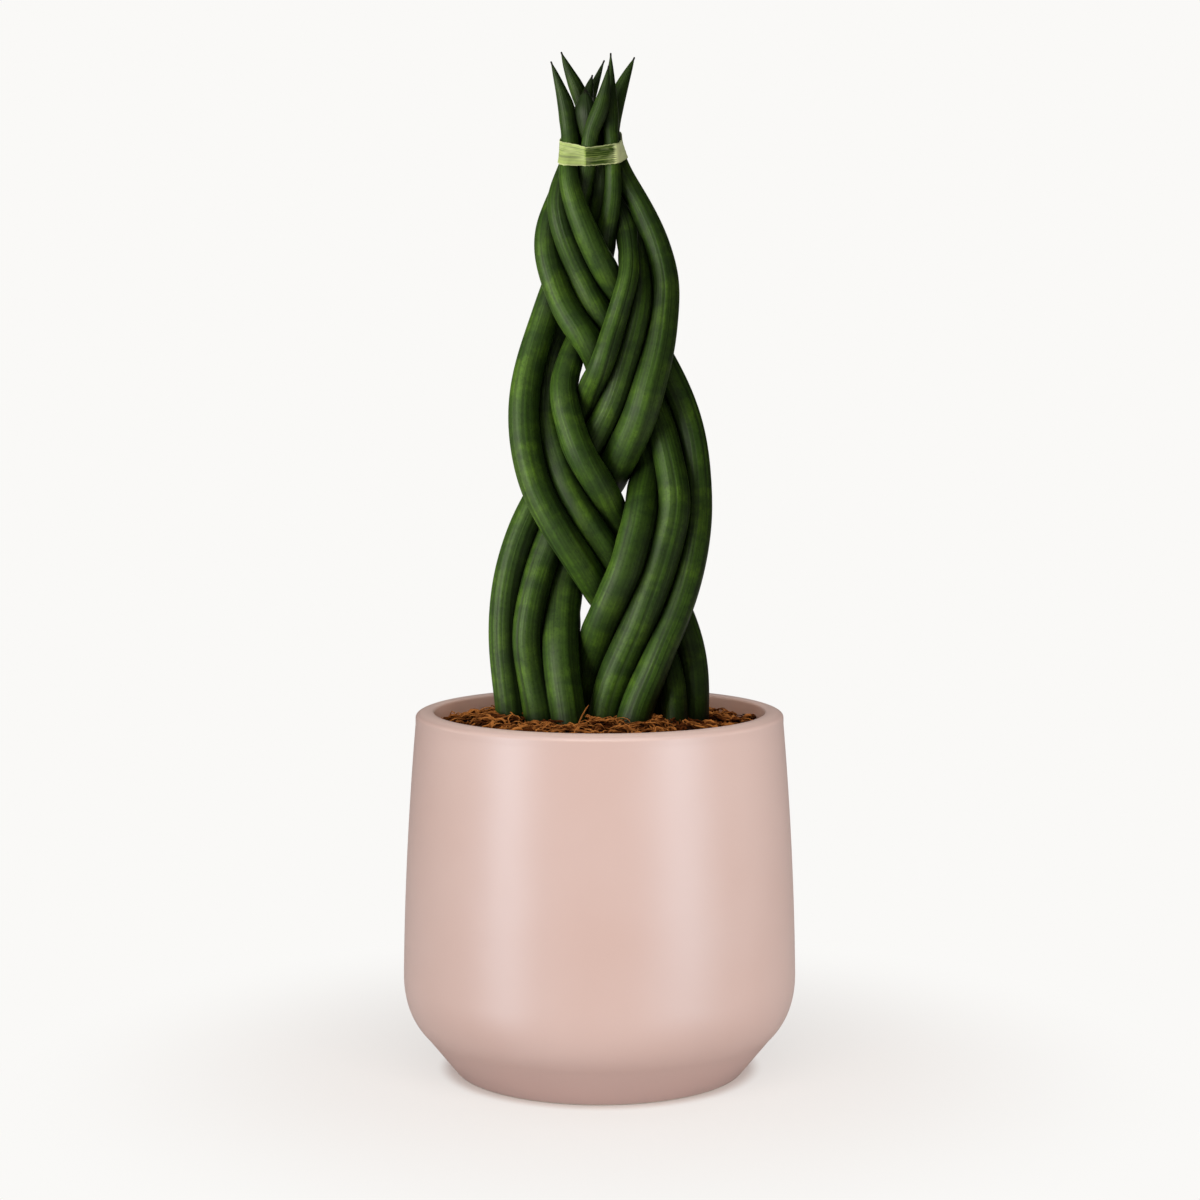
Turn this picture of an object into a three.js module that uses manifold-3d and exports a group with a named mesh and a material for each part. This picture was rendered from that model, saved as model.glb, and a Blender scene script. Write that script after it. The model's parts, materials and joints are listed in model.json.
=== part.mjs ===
// Cylindrical snake plant: nine round leaves plaited as three strands of three, tied near
// their tips, rooted in a filled ceramic pot that is dressed with coir.
// Millimetres, +Z up. The origin is the centre of the pot's foot, on the surface it stands on.

import * as THREE from "three";
import { mergeVertices } from "three/addons/utils/BufferGeometryUtils.js";
import Module from "manifold-3d";

const wasm = await Module();
wasm.setup();

// ---------------------------------------------------------------- driving dimensions

// Every pair of neighbouring pieces keeps at least this much air between them.
const GAP = 0.35;

// Pot: a chamfered foot, a soft shoulder, a long gentle taper and a rolled lip.
const POT_SIDES = 44;
const CURVE_STEPS = 5;
const FOOT_R = 62.4;
const FOOT_RING_WIDTH = 8;
const FOOT_RECESS = 2;
const CHAMFER_TOP = { r: 76, z: 16.8 };
const SHOULDER_Z = 26;
const WIDEST = { r: 85.1, z: 42 };
const TAPER_BEND = { r: 84.3, z: 95 };
const LIP = { r: 75.3, z: 152.9, tube: 4.03 };
const UNDER_LIP = 1.5;
const WALL = 6.6;

// Hollow of the pot: a straight neck, a belly that follows the wall, and a rounded floor edge.
const BOWL = { neckZ: 138, shoulderZ: 110, bellyZ: 50, turnZ: 26, floorR: 63.4, floorZ: 9 };

// Filling: potting mix up to MIX_TOP_Z, then a layer of coir with a low heap round the leaves.
// The coir's lumps sway from side to side, and wider, lower swells lie under them.
const MIX_TOP_Z = 141.7;
const MIX_GAP = GAP + 0.15;
const BED_GAP = GAP + 0.15;
const MULCH_BOTTOM_Z = MIX_TOP_Z + 0.3;
const MULCH_EDGE_Z = 150;
const MULCH_HEAP = 3.6;
const MULCH_RELIEF = 0.8;
const LUMP = { across: 15, deep: 17, slant: 0.3, sway: 5, swayLength: 48 };
const SWELL = { across: 37, deep: 33 };
const MULCH_RINGS = 9;
const MULCH_SIDES = 36;

// Coarse fibres that arch out of the coir, each between the two sizes given.
const FIBRE = { count: 30, seed: 7, length: [8, 17], girth: [0.7, 1.2], arch: [0.3, 1.4], sunk: 1.6 };
const FIBRE_MARGIN = 6;

// Leaves: round in section, with shallow lengthwise ribs, a narrowed root end and a pointed tip.
const RIBS = 6;
const RIB_DEPTH = 0.05;
const LEAF_SAMPLES = 80;
const SAMPLES_A_RING = 2;
const TIP_FULLNESS = 1.12;
const ROOT_END = 0.7;

// Holes that the leaves stand in, up to clear of the coir.
const HOLE_SIDES = 8;
const HOLE_TOP_Z = MULCH_EDGE_Z + 12;

// Tie: one flat strip of dried leaf drawn round the bundle, lower at the front, and lapped behind
// with a second thickness over LAP.half either way, measured in radians round the bundle.
const TIE = { z: 397, height: 8.3, thickness: 0.65, clearance: 0.5, tilt: 0.36, corners: 40 };
const LAP = { thickness: 0.7, half: 0.75, ramp: 0.2 };

// ---------------------------------------------------------------- the plait

// Heights of the places that every leaf's row gives, from its root end to above the tie.
const LEVELS = [122, 154, 170, 187, 204, 221, 239, 256, 273, 290, 307, 324, 341, 358, 375, 390, 402];

// Heights at which every leaf's radius is given; above the last one it tapers to the tip.
const GIRTH_LEVELS = [122, 187, 239, 290, 324, 358, 390, 412];

// At each of the plait's crossings one strand lies in front of the other.
const LIES_OVER = { middle: "right", right: "left", left: "middle" };
const PLAIT_TOP_Z = 372;

// One row a leaf. across and depth are X and Y at LEVELS, crown is the way on to the tip, and
// girth is the radius at GIRTH_LEVELS. Depth is negative towards the front.
const LEAVES = [
  {
    name: "leaf_left_1",
    strand: "left",
    across: [-37, -38.5, -40.5, -42, -41.5, -38.3, -31.5, -22, -13, -4.5, 1, 7.5, 12, 11.5, 6, -1, -2.5],
    depth: [6, 6, 5, 4, 4, 5, 7, 6, 1, -4, -6, -5, -2, 2, 5, 6.5, 7],
    crown: [[-8.3, 9.6, 417], [-16.4, 10, 438]],
    girth: [6, 6.2, 6, 4.9, 4.4, 4, 3.5, 3.1],
  },
  {
    name: "leaf_left_2",
    strand: "left",
    across: [-25, -25.5, -29, -31, -29.5, -25, -18, -10.5, -3, 5.5, 11.5, 17, 18.5, 16, 11, 6.5, 4],
    depth: [-1, -1, 0, 2, 4, 6, 7, 5, 0, -6, -7.5, -6, -3, 2, 5.5, 7.5, 7.7],
    crown: [[7, 9, 418], [14.6, 12, 436]],
    girth: [5.8, 6, 5.9, 5.2, 4.6, 4.1, 3.5, 3.1],
  },
  {
    name: "leaf_left_3",
    strand: "left",
    across: [-10, -12.8, -15.5, -18, -16.5, -11, -4, 3.5, 12, 18.5, 24, 27.5, 27.8, 24.7, 16.4, 7.8, 4.9],
    depth: [-12, -12, -8, -1, 4, 7, 7, 3, -4, -7.5, -7, -4, -3, -2, -1, -0.5, 0],
    crown: [[3.5, 0.5, 414], [2.5, 2, 425]],
    girth: [7.1, 7.4, 7.4, 7, 5.8, 4.9, 3.6, 3.1],
  },
  {
    name: "leaf_middle_1",
    strand: "middle",
    across: [-5, -5, -7, -3, 4.5, 12, 17, 18.5, 17.5, 9.5, 0, -10.5, -19, -23.6, -18.6, -12.5, -10],
    depth: [12.5, 12.5, 9, 2, -4, -4, -2, 2, 6, 8, 7, 2, -2, 1, 6, 11.5, 14.2],
    crown: [[-4.8, 16.4, 418], [2, 17.5, 434]],
    girth: [6.7, 6.8, 6.7, 6.4, 6, 4.9, 3.7, 2.9],
  },
  {
    name: "leaf_middle_2",
    strand: "middle",
    across: [1, 1, 5.5, 13, 21, 27, 30.5, 30.5, 28.5, 21.5, 12.5, 2.5, -7.5, -15.5, -18.5, -12.8, -9.5],
    depth: [0.5, 0.5, -3, -7, -7.5, -6, -2, 3, 7, 8, 5, -2, -5.5, -5, -1, 4, 7],
    crown: [[-5.6, 6.6, 417], [-3, 6.8, 428]],
    girth: [6.5, 6.7, 6.5, 5.7, 4.8, 4.4, 3.9, 3.3],
  },
  {
    name: "leaf_middle_3",
    strand: "middle",
    across: [12.6, 13.7, 20.6, 27.6, 35, 40, 42.5, 42.5, 40.9, 35.8, 27, 16, 3.5, -5.5, -11.3, -12.4, -12.1],
    depth: [-13, -13, -11, -8, -6, -4, 0, 4, 7, 8, 4, -4, -7, -7.5, -6, -2.6, -1],
    crown: [[-14.5, -1.8, 416], [-20.5, -4, 432]],
    girth: [8, 5.9, 5.9, 5.7, 5.5, 5.1, 3.8, 3],
  },
  {
    name: "leaf_right_1",
    strand: "right",
    across: [26, 25, 22, 13.5, 3, -8, -19.5, -28.5, -32.5, -33, -29.8, -24, -18.5, -13.5, -8.5, -5.6, -4],
    depth: [6, 6, 5, 6, 4, -5, -7.5, -7.5, -5, -2, 2, 6, 7, 3, -5, -9.6, -11],
    crown: [[0.5, -12.2, 416], [2.5, -14.5, 429]],
    girth: [6.4, 6.5, 6.5, 6.2, 5.8, 4.6, 3.3, 2.8],
  },
  {
    name: "leaf_right_2",
    strand: "right",
    across: [33, 32.5, 32.5, 26, 16.5, 7, -3.5, -15, -21.5, -23.5, -20, -14, -7.5, -3, -0.5, 0.5, -4.5],
    depth: [-5, -5, 0, 5, 6, 2, -5, -4, 0, 3, 5, 7, 8, 5, 0, -1.4, -1.6],
    crown: [[-6.9, -3.8, 414], [-6.4, -4.2, 421]],
    girth: [5.4, 5.3, 5, 4.9, 4.7, 4, 3.4, 3.7],
  },
  {
    name: "leaf_right_3",
    strand: "right",
    across: [41, 41.5, 42, 39, 32, 19.5, 8.5, -2.5, -11, -14.5, -12.5, -6, 0, 3.5, 5.5, 5.8, 4.8],
    depth: [3, 3, 4, 6, 7, 5, -3, -8, -7, -4, 0, 5, 7, 3, -3.5, -5.8, -5.5],
    crown: [[4.4, -6.4, 416], [4.3, -7, 435]],
    girth: [5.7, 6, 6.4, 5.8, 5, 4, 3, 2.7],
  },
];

// Settling: how the hand-placed rows become leaves that touch nowhere and bend smoothly. Each
// pass moves a leaf by a share of what parts it from its neighbours, a smooth bend and its row.
const SETTLE = { passes: 600, gap: 1.3, reach: 4, across: 0.3, stiffness: 0.35, lastStrength: 0.1 };
const SWAP = { step: 0.3, within: 0.8 };
const HOLD = { plait: { across: 0.05, depth: 0.01 }, bundle: { across: 0.15, depth: 0.05 } };

// ---------------------------------------------------------------- materials

const MATERIALS = {
  ceramic: new THREE.MeshStandardMaterial({ color: "#dcb8ac", roughness: 0.42, metalness: 0 }),
  mix: new THREE.MeshStandardMaterial({ color: "#3a2a20", roughness: 0.95, metalness: 0 }),
  coir: new THREE.MeshStandardMaterial({ color: "#8a4a26", roughness: 0.95, metalness: 0 }),
  leaf: new THREE.MeshStandardMaterial({ color: "#38561f", roughness: 0.45, metalness: 0 }),
  tie: new THREE.MeshStandardMaterial({ color: "#bccb84", roughness: 0.6, metalness: 0 }),
};

// ---------------------------------------------------------------- small helpers

/** Straight-line interpolation of values given at rising places. */
function between(places, values, place) {
  const last = places.length - 1;
  if (place <= places[0]) return values[0];
  if (place >= places[last]) return values[last];
  const next = places.findIndex((p) => p > place);
  const share = (place - places[next - 1]) / (places[next] - places[next - 1]);
  return THREE.MathUtils.lerp(values[next - 1], values[next], share);
}

/** Repeatable random numbers from 0 to 1, by a linear congruential rule. */
function seededRandom(seed) {
  let state = seed;
  return () => {
    state = (state * 1664525 + 1013904223) % 4294967296;
    return state / 4294967296;
  };
}

/** A geometry with shared vertices, no empty triangles and its faces pointing out. */
function closed(geometry) {
  const bare = geometry.clone();
  bare.deleteAttribute("normal");
  bare.deleteAttribute("uv");
  const merged = mergeVertices(bare, 1e-4);
  const index = merged.getIndex().array;
  const corners = [];
  for (let i = 0; i < index.length; i += 3) {
    const [a, b, c] = [index[i], index[i + 1], index[i + 2]];
    if (a !== b && b !== c && c !== a) corners.push(a, b, c);
  }
  if (signedVolume(merged.getAttribute("position"), corners) < 0) corners.reverse();
  merged.setIndex(corners);
  return merged;
}

function signedVolume(position, corners) {
  const [a, b, c] = [new THREE.Vector3(), new THREE.Vector3(), new THREE.Vector3()];
  let total = 0;
  for (let i = 0; i < corners.length; i += 3) {
    a.fromBufferAttribute(position, corners[i]);
    b.fromBufferAttribute(position, corners[i + 1]);
    c.fromBufferAttribute(position, corners[i + 2]);
    total += a.dot(b.cross(c)) / 6;
  }
  return total;
}

function toSolid(geometry) {
  const shape = closed(geometry);
  return new wasm.Manifold(new wasm.Mesh({
    numProp: 3,
    vertProperties: new Float32Array(shape.getAttribute("position").array),
    triVerts: new Uint32Array(shape.getIndex().array),
  }));
}

function toGeometry(solid) {
  const mesh = solid.getMesh();
  const geometry = new THREE.BufferGeometry();
  geometry.setAttribute("position", new THREE.BufferAttribute(mesh.vertProperties, 3));
  geometry.setIndex(new THREE.BufferAttribute(mesh.triVerts, 1));
  return geometry;
}

/** The biggest of a solid's separate pieces, so that cut-off scraps are dropped. */
function largestPiece(solid) {
  const pieces = solid.decompose();
  return pieces.reduce((best, piece) => (piece.volume() > best.volume() ? piece : best));
}

/** A closed geometry from rings of equal length, joined in order and closed by two end points. */
function skin(rings, startPoint, endPoint) {
  const count = rings[0].length;
  const points = [startPoint, ...rings.flat(), endPoint];
  const end = points.length - 1;
  const at = (ring, side) => 1 + ring * count + (side % count);
  const corners = [];
  for (let side = 0; side < count; side += 1) {
    corners.push(0, at(0, side + 1), at(0, side));
    corners.push(end, at(rings.length - 1, side), at(rings.length - 1, side + 1));
    for (let ring = 0; ring < rings.length - 1; ring += 1) {
      corners.push(at(ring, side), at(ring, side + 1), at(ring + 1, side + 1));
      corners.push(at(ring, side), at(ring + 1, side + 1), at(ring + 1, side));
    }
  }
  const geometry = new THREE.BufferGeometry().setFromPoints(points);
  geometry.setIndex(corners);
  return geometry;
}

/** The ring of points square to a route at one of its samples; radiusAt gives each side's reach. */
function ringAround(route, index, sides, radiusAt) {
  const before = route[Math.max(index - 1, 0)];
  const after = route[Math.min(index + 1, route.length - 1)];
  const along = after.clone().sub(before).normalize();
  const right = new THREE.Vector3(1, 0, 0).addScaledVector(along, -along.x).normalize();
  const back = along.clone().cross(right);
  return Array.from({ length: sides }, (_, side) => {
    const turn = (2 * Math.PI * side) / sides;
    return route[index].clone()
      .addScaledVector(right, Math.cos(turn) * radiusAt(side))
      .addScaledVector(back, Math.sin(turn) * radiusAt(side));
  });
}

// ---------------------------------------------------------------- leaf routes

/** Radius of a leaf at a height; above the last girth level it rounds off to the tip. */
function leafRadius(leaf, z) {
  const top = GIRTH_LEVELS[GIRTH_LEVELS.length - 1];
  const tipZ = leaf.crown[leaf.crown.length - 1][2];
  const base = between(GIRTH_LEVELS, leaf.girth, z);
  if (z <= top) return base;
  return base * Math.max(0, 1 - ((z - top) / (tipZ - top)) ** TIP_FULLNESS);
}

/** A leaf's centre line as evenly spaced points, with its radius and hand-placed home at each. */
function startRoute(leaf) {
  const places = LEVELS.map((z, i) => new THREE.Vector3(leaf.across[i], leaf.depth[i], z));
  leaf.crown.forEach((place) => places.push(new THREE.Vector3(...place)));
  const points = new THREE.CatmullRomCurve3(places, false, "centripetal").getSpacedPoints(LEAF_SAMPLES);
  return {
    leaf,
    points,
    homes: points.map((p) => p.clone()),
    radii: points.map((p) => leafRadius(leaf, p.z)),
  };
}

/** The place on another route that is nearest to a point, with the other leaf's radius there. */
function nearestOn(other, point, index) {
  const spot = new THREE.Vector3();
  const piece = new THREE.Line3();
  const best = { distance: Infinity, at: new THREE.Vector3(), radius: 0 };
  const first = Math.max(0, index - SETTLE.reach);
  const last = Math.min(other.points.length - 2, index + SETTLE.reach);
  for (let i = first; i <= last; i += 1) {
    piece.set(other.points[i], other.points[i + 1]);
    piece.closestPointToPoint(point, true, spot);
    const distance = spot.distanceTo(point);
    if (distance < best.distance) {
      best.distance = distance;
      best.at.copy(spot);
      best.radius = Math.max(other.radii[i], other.radii[i + 1]);
    }
  }
  return best;
}

/** -1 if a leaf passes in front of another, 1 if behind, 0 where the plait doesn't say. */
function passingSide(leaf, other, z) {
  if (z > PLAIT_TOP_Z) return 0;
  if (LIES_OVER[leaf.strand] === other.strand) return -1;
  return LIES_OVER[other.strand] === leaf.strand ? 1 : 0;
}

/** Pushes one leaf's points clear of another leaf, mostly in depth, in the plait's order. */
function pushClear(route, other) {
  route.points.forEach((point, index) => {
    const near = nearestOn(other, point, index);
    const needed = route.radii[index] + near.radius + SETTLE.gap;
    const apart = point.clone().sub(near.at);
    const side = passingSide(route.leaf, other.leaf, point.z);
    const wrongSide = side !== 0 && side * apart.y < 0;
    if (wrongSide && Math.hypot(apart.x, apart.z) < needed * SWAP.within) {
      point.y += side * SWAP.step;
    } else if (near.distance < needed) {
      const push = (needed - near.distance) / 2 / near.distance;
      point.x += apart.x * push * SETTLE.across;
      point.y += apart.y * push;
    }
  });
}

/** Evens out a leaf's bends and draws it back towards its hand-placed row. */
function relax({ points, homes }, strength) {
  for (let i = 1; i < points.length - 1; i += 1) {
    const midX = (points[i - 1].x + points[i + 1].x) / 2;
    const midY = (points[i - 1].y + points[i + 1].y) / 2;
    const hold = points[i].z > PLAIT_TOP_Z ? HOLD.bundle : HOLD.plait;
    points[i].x += (midX - points[i].x) * SETTLE.stiffness * strength;
    points[i].y += (midY - points[i].y) * SETTLE.stiffness * strength;
    points[i].x += (homes[i].x - points[i].x) * hold.across * strength;
    points[i].y += (homes[i].y - points[i].y) * hold.depth * strength;
  }
}

function settledRoutes() {
  const routes = LEAVES.map(startRoute);
  for (let pass = 0; pass < SETTLE.passes; pass += 1) {
    const strength = Math.max(SETTLE.lastStrength, 1 - pass / SETTLE.passes);
    for (const route of routes) {
      for (const other of routes) {
        if (other !== route) pushClear(route, other);
      }
      relax(route, strength);
    }
  }
  return routes;
}

// ---------------------------------------------------------------- leaves

/** A leaf: ribbed rings along its route, drawn in at the root end and closed at the tip. */
function leafGeometry({ points, radii }) {
  const rings = [];
  for (let i = 0; i < points.length - 1; i += SAMPLES_A_RING) {
    const taper = i === 0 ? ROOT_END : 1;
    const rib = (side) => radii[i] * taper * (side % 2 === 0 ? 1 : 1 - RIB_DEPTH);
    rings.push(ringAround(points, i, RIBS * 2, rib));
  }
  return skin(rings, points[0], points[points.length - 1]);
}

/** The plain hole that a leaf's root end stands in, a gap wider than the leaf all round. */
function leafHole({ points, radii }) {
  const top = points.findIndex((p) => p.z > HOLE_TOP_Z);
  const corner = 1 / Math.cos(Math.PI / HOLE_SIDES);
  const stations = points.slice(0, top + 1);
  stations[0] = stations[0].clone().setZ(stations[0].z - GAP);
  const rings = [];
  for (let i = 0; i < stations.length; i += SAMPLES_A_RING) {
    rings.push(ringAround(stations, i, HOLE_SIDES, () => (radii[i] + GAP) * corner));
  }
  const end = stations[SAMPLES_A_RING * (rings.length - 1)];
  return toSolid(skin(rings, stations[0], end));
}

// ---------------------------------------------------------------- pot

/** The hollow of the pot from its lip down to the middle of its floor, drawn in by a gap. */
function bowlLine(gap, topZ) {
  const neckR = LIP.r - LIP.tube - gap;
  const bellyR = WIDEST.r - WALL - gap;
  const line = new THREE.Path();
  line.moveTo(neckR, topZ);
  line.lineTo(neckR, BOWL.neckZ);
  line.quadraticCurveTo(bellyR, BOWL.shoulderZ, bellyR, BOWL.bellyZ);
  line.quadraticCurveTo(bellyR, BOWL.turnZ, BOWL.floorR, BOWL.floorZ + gap);
  line.lineTo(0, BOWL.floorZ + gap);
  return line.getPoints(CURVE_STEPS);
}

/** A profile of radius and height turned about the upright axis. */
function turned(profile) {
  return new THREE.LatheGeometry(profile, POT_SIDES).rotateX(Math.PI / 2);
}

function potGeometry() {
  const outside = new THREE.Path();
  const ringInnerR = FOOT_R - FOOT_RING_WIDTH;
  outside.moveTo(0, FOOT_RECESS);
  outside.lineTo(ringInnerR - FOOT_RECESS, FOOT_RECESS);
  outside.lineTo(ringInnerR, 0);
  outside.lineTo(FOOT_R, 0);
  outside.lineTo(CHAMFER_TOP.r, CHAMFER_TOP.z);
  outside.quadraticCurveTo(WIDEST.r, SHOULDER_Z, WIDEST.r, WIDEST.z);
  outside.quadraticCurveTo(TAPER_BEND.r, TAPER_BEND.z, LIP.r + LIP.tube, LIP.z - UNDER_LIP);
  outside.absarc(LIP.r, LIP.z, LIP.tube, 0, Math.PI, false);
  return turned([...outside.getPoints(CURVE_STEPS), ...bowlLine(0, LIP.z - UNDER_LIP)]);
}

// ---------------------------------------------------------------- filling

function pottingMixGeometry(holes) {
  const filling = toSolid(turned([new THREE.Vector2(0, MIX_TOP_Z), ...bowlLine(MIX_GAP, MIX_TOP_Z)]));
  return toGeometry(largestPiece(filling.subtract(holes)));
}

/** A wave from -1 to 1 whose crests are a given length apart. */
function wave(distance, length) {
  return Math.sin((2 * Math.PI * distance) / length);
}

/** Height of the coir: a low heap round the leaves under a lumpy surface. */
function mulchHeight(x, y) {
  const edgeR = LIP.r - LIP.tube;
  const heap = MULCH_HEAP * Math.max(0, 1 - (Math.hypot(x, y) / edgeR) ** 2);
  const swayed = x + LUMP.sway * wave(y, LUMP.swayLength);
  const lumps = wave(swayed, LUMP.across) * wave(y - LUMP.slant * x, LUMP.deep);
  const swells = wave(x, SWELL.across) * wave(y, SWELL.deep);
  return MULCH_EDGE_Z + heap + MULCH_RELIEF * (lumps + swells);
}

/** The coir layer as a lumpy disc: rings of points from the rim in, over a flat underside. */
function mulchBed() {
  const edgeR = LIP.r - LIP.tube - BED_GAP;
  const circle = (radius, heightAt) => Array.from({ length: MULCH_SIDES }, (_, side) => {
    const turn = (2 * Math.PI * side) / MULCH_SIDES;
    const x = radius * Math.cos(turn);
    const y = radius * Math.sin(turn);
    return new THREE.Vector3(x, y, heightAt(x, y));
  });
  const rings = [circle(edgeR, () => MULCH_BOTTOM_Z)];
  for (let ring = 0; ring < MULCH_RINGS; ring += 1) {
    rings.push(circle(edgeR * (1 - ring / MULCH_RINGS), mulchHeight));
  }
  const under = new THREE.Vector3(0, 0, MULCH_BOTTOM_Z);
  const top = new THREE.Vector3(0, 0, mulchHeight(0, 0));
  return toSolid(skin(rings, under, top));
}

/** One coarse coir fibre: a three-sided rod that arches out of the bed with both ends sunk. */
function fibre(random) {
  const bedR = LIP.r - LIP.tube - FIBRE_MARGIN;
  const distance = bedR * Math.sqrt(random());
  const bearing = 2 * Math.PI * random();
  const heading = 2 * Math.PI * random();
  const length = THREE.MathUtils.lerp(...FIBRE.length, random());
  const girth = THREE.MathUtils.lerp(...FIBRE.girth, random());
  const arch = THREE.MathUtils.lerp(...FIBRE.arch, random());
  const middle = new THREE.Vector2(distance * Math.cos(bearing), distance * Math.sin(bearing));
  const point = (share, lift) => {
    const x = middle.x + share * length * Math.cos(heading);
    const y = middle.y + share * length * Math.sin(heading);
    const reach = Math.min(1, bedR / Math.hypot(x, y));
    return new THREE.Vector3(x * reach, y * reach, mulchHeight(x * reach, y * reach) + lift);
  };
  const ends = [point(-0.5, -FIBRE.sunk), point(0.5, -FIBRE.sunk)];
  const route = [ends[0], point(-0.2, arch), point(0.2, arch), ends[1]];
  const rings = route.map((_, i) => ringAround(route, i, 3, () => girth));
  return toSolid(skin(rings, route[0], route[route.length - 1]));
}

function mulchGeometry(holes) {
  const random = seededRandom(FIBRE.seed);
  const fibres = Array.from({ length: FIBRE.count }, () => fibre(random));
  const bed = fibres.reduce((sum, one) => sum.add(one), mulchBed());
  return toGeometry(largestPiece(bed.subtract(holes)));
}

// ---------------------------------------------------------------- tie

/**
 * The slanting cut that the tie's tilted level makes through one leaf: its centre, the leaf's
 * radius, and the terms xx, xy, yy of the ellipse xx.x2 + 2.xy.x.y + yy.y2 = radius2.
 */
function cutThrough({ points, radii }, level) {
  const above = (point) => point.z - TIE.tilt * point.y - level;
  const upper = points.findIndex((point) => above(point) > 0);
  const [low, high] = [points[upper - 1], points[upper]];
  const centre = low.clone().lerp(high, above(low) / (above(low) - above(high)));
  const along = high.clone().sub(low).normalize();
  const lift = along.y + TIE.tilt * along.z;
  return {
    centre,
    radius: radii[upper - 1],
    xx: 1 - along.x ** 2,
    xy: -along.x * lift,
    yy: 1 + TIE.tilt ** 2 - lift ** 2,
  };
}

/** How far a cut reaches from the pot's axis in a direction. */
function cutReach({ centre, radius, xx, xy, yy }, turn) {
  const [nx, ny] = [Math.cos(turn), Math.sin(turn)];
  const spread = (yy * nx ** 2 - 2 * xy * nx * ny + xx * ny ** 2) / (xx * yy - xy ** 2);
  return centre.x * nx + centre.y * ny + radius * Math.sqrt(spread);
}

/** How far the bundle reaches in each of the tie's directions at one level. */
function reachesAt(routes, level) {
  const cuts = routes.map((route) => cutThrough(route, level));
  return tieTurns().map((turn) => Math.max(...cuts.map((cut) => cutReach(cut, turn))));
}

function tieTurns() {
  return Array.from({ length: TIE.corners }, (_, corner) => (2 * Math.PI * corner) / TIE.corners);
}

/** The corners where neighbouring support lines of a taut outline meet, on its tilted level. */
function tautOutline(reaches, level) {
  const step = (2 * Math.PI) / TIE.corners;
  return tieTurns().map((turn, corner) => {
    const here = reaches[corner];
    const next = reaches[(corner + 1) % TIE.corners];
    const sideways = (next - here * Math.cos(step)) / Math.sin(step);
    const x = here * Math.cos(turn) - sideways * Math.sin(turn);
    const y = here * Math.sin(turn) + sideways * Math.cos(turn);
    return new THREE.Vector3(x, y, level + TIE.tilt * y);
  });
}

/** How much thicker the strip is where its end laps over its start, at the back. */
function lapAt(turn) {
  const fromBack = Math.abs(turn - Math.PI / 2);
  return LAP.thickness * THREE.MathUtils.clamp((LAP.half - fromBack) / LAP.ramp, 0, 1);
}

/** The tie as a straight-sided band that clears the leaves at its edges and in between. */
function tieGeometry(routes) {
  const low = TIE.z - TIE.height / 2;
  const high = TIE.z + TIE.height / 2;
  const lowReach = reachesAt(routes, low);
  const highReach = reachesAt(routes, high);
  const middleReach = reachesAt(routes, TIE.z);
  const bulge = middleReach.map((reach, i) => Math.max(0, reach - (lowReach[i] + highReach[i]) / 2));
  const inside = (reach, i) => reach + bulge[i] + TIE.clearance;
  const outside = (reach, i) => inside(reach, i) + TIE.thickness + lapAt(tieTurns()[i]);
  return ringOfRings([
    tautOutline(lowReach.map(inside), low),
    tautOutline(lowReach.map(outside), low),
    tautOutline(highReach.map(outside), high),
    tautOutline(highReach.map(inside), high),
  ]);
}

/** A closed band from loops that follow each other round its section. */
function ringOfRings(loops) {
  const count = loops[0].length;
  const at = (loop, corner) => (loop % loops.length) * count + (corner % count);
  const corners = [];
  for (let loop = 0; loop < loops.length; loop += 1) {
    for (let corner = 0; corner < count; corner += 1) {
      corners.push(at(loop, corner), at(loop, corner + 1), at(loop + 1, corner + 1));
      corners.push(at(loop, corner), at(loop + 1, corner + 1), at(loop + 1, corner));
    }
  }
  const geometry = new THREE.BufferGeometry().setFromPoints(loops.flat());
  geometry.setIndex(corners);
  return geometry;
}

// ---------------------------------------------------------------- assembly

function piece(name, geometry, material) {
  const mesh = new THREE.Mesh(closed(geometry), material);
  mesh.name = name;
  return mesh;
}

const routes = settledRoutes();
const holes = routes.map(leafHole).reduce((sum, hole) => sum.add(hole));

const plant = new THREE.Group();
plant.add(piece("pot", potGeometry(), MATERIALS.ceramic));
plant.add(piece("potting_mix", pottingMixGeometry(holes), MATERIALS.mix));
plant.add(piece("coir_mulch", mulchGeometry(holes), MATERIALS.coir));
for (const route of routes) {
  plant.add(piece(route.leaf.name, leafGeometry(route), MATERIALS.leaf));
}
plant.add(piece("tie_band", tieGeometry(routes), MATERIALS.tie));

export default plant;
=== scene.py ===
"""Plaited cylindrical snake plant in a glazed pot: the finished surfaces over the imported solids.

Everything is in metres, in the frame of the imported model: the origin is the centre of the
pot's foot, +Z is up and the front faces -Y.
"""

import json

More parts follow.
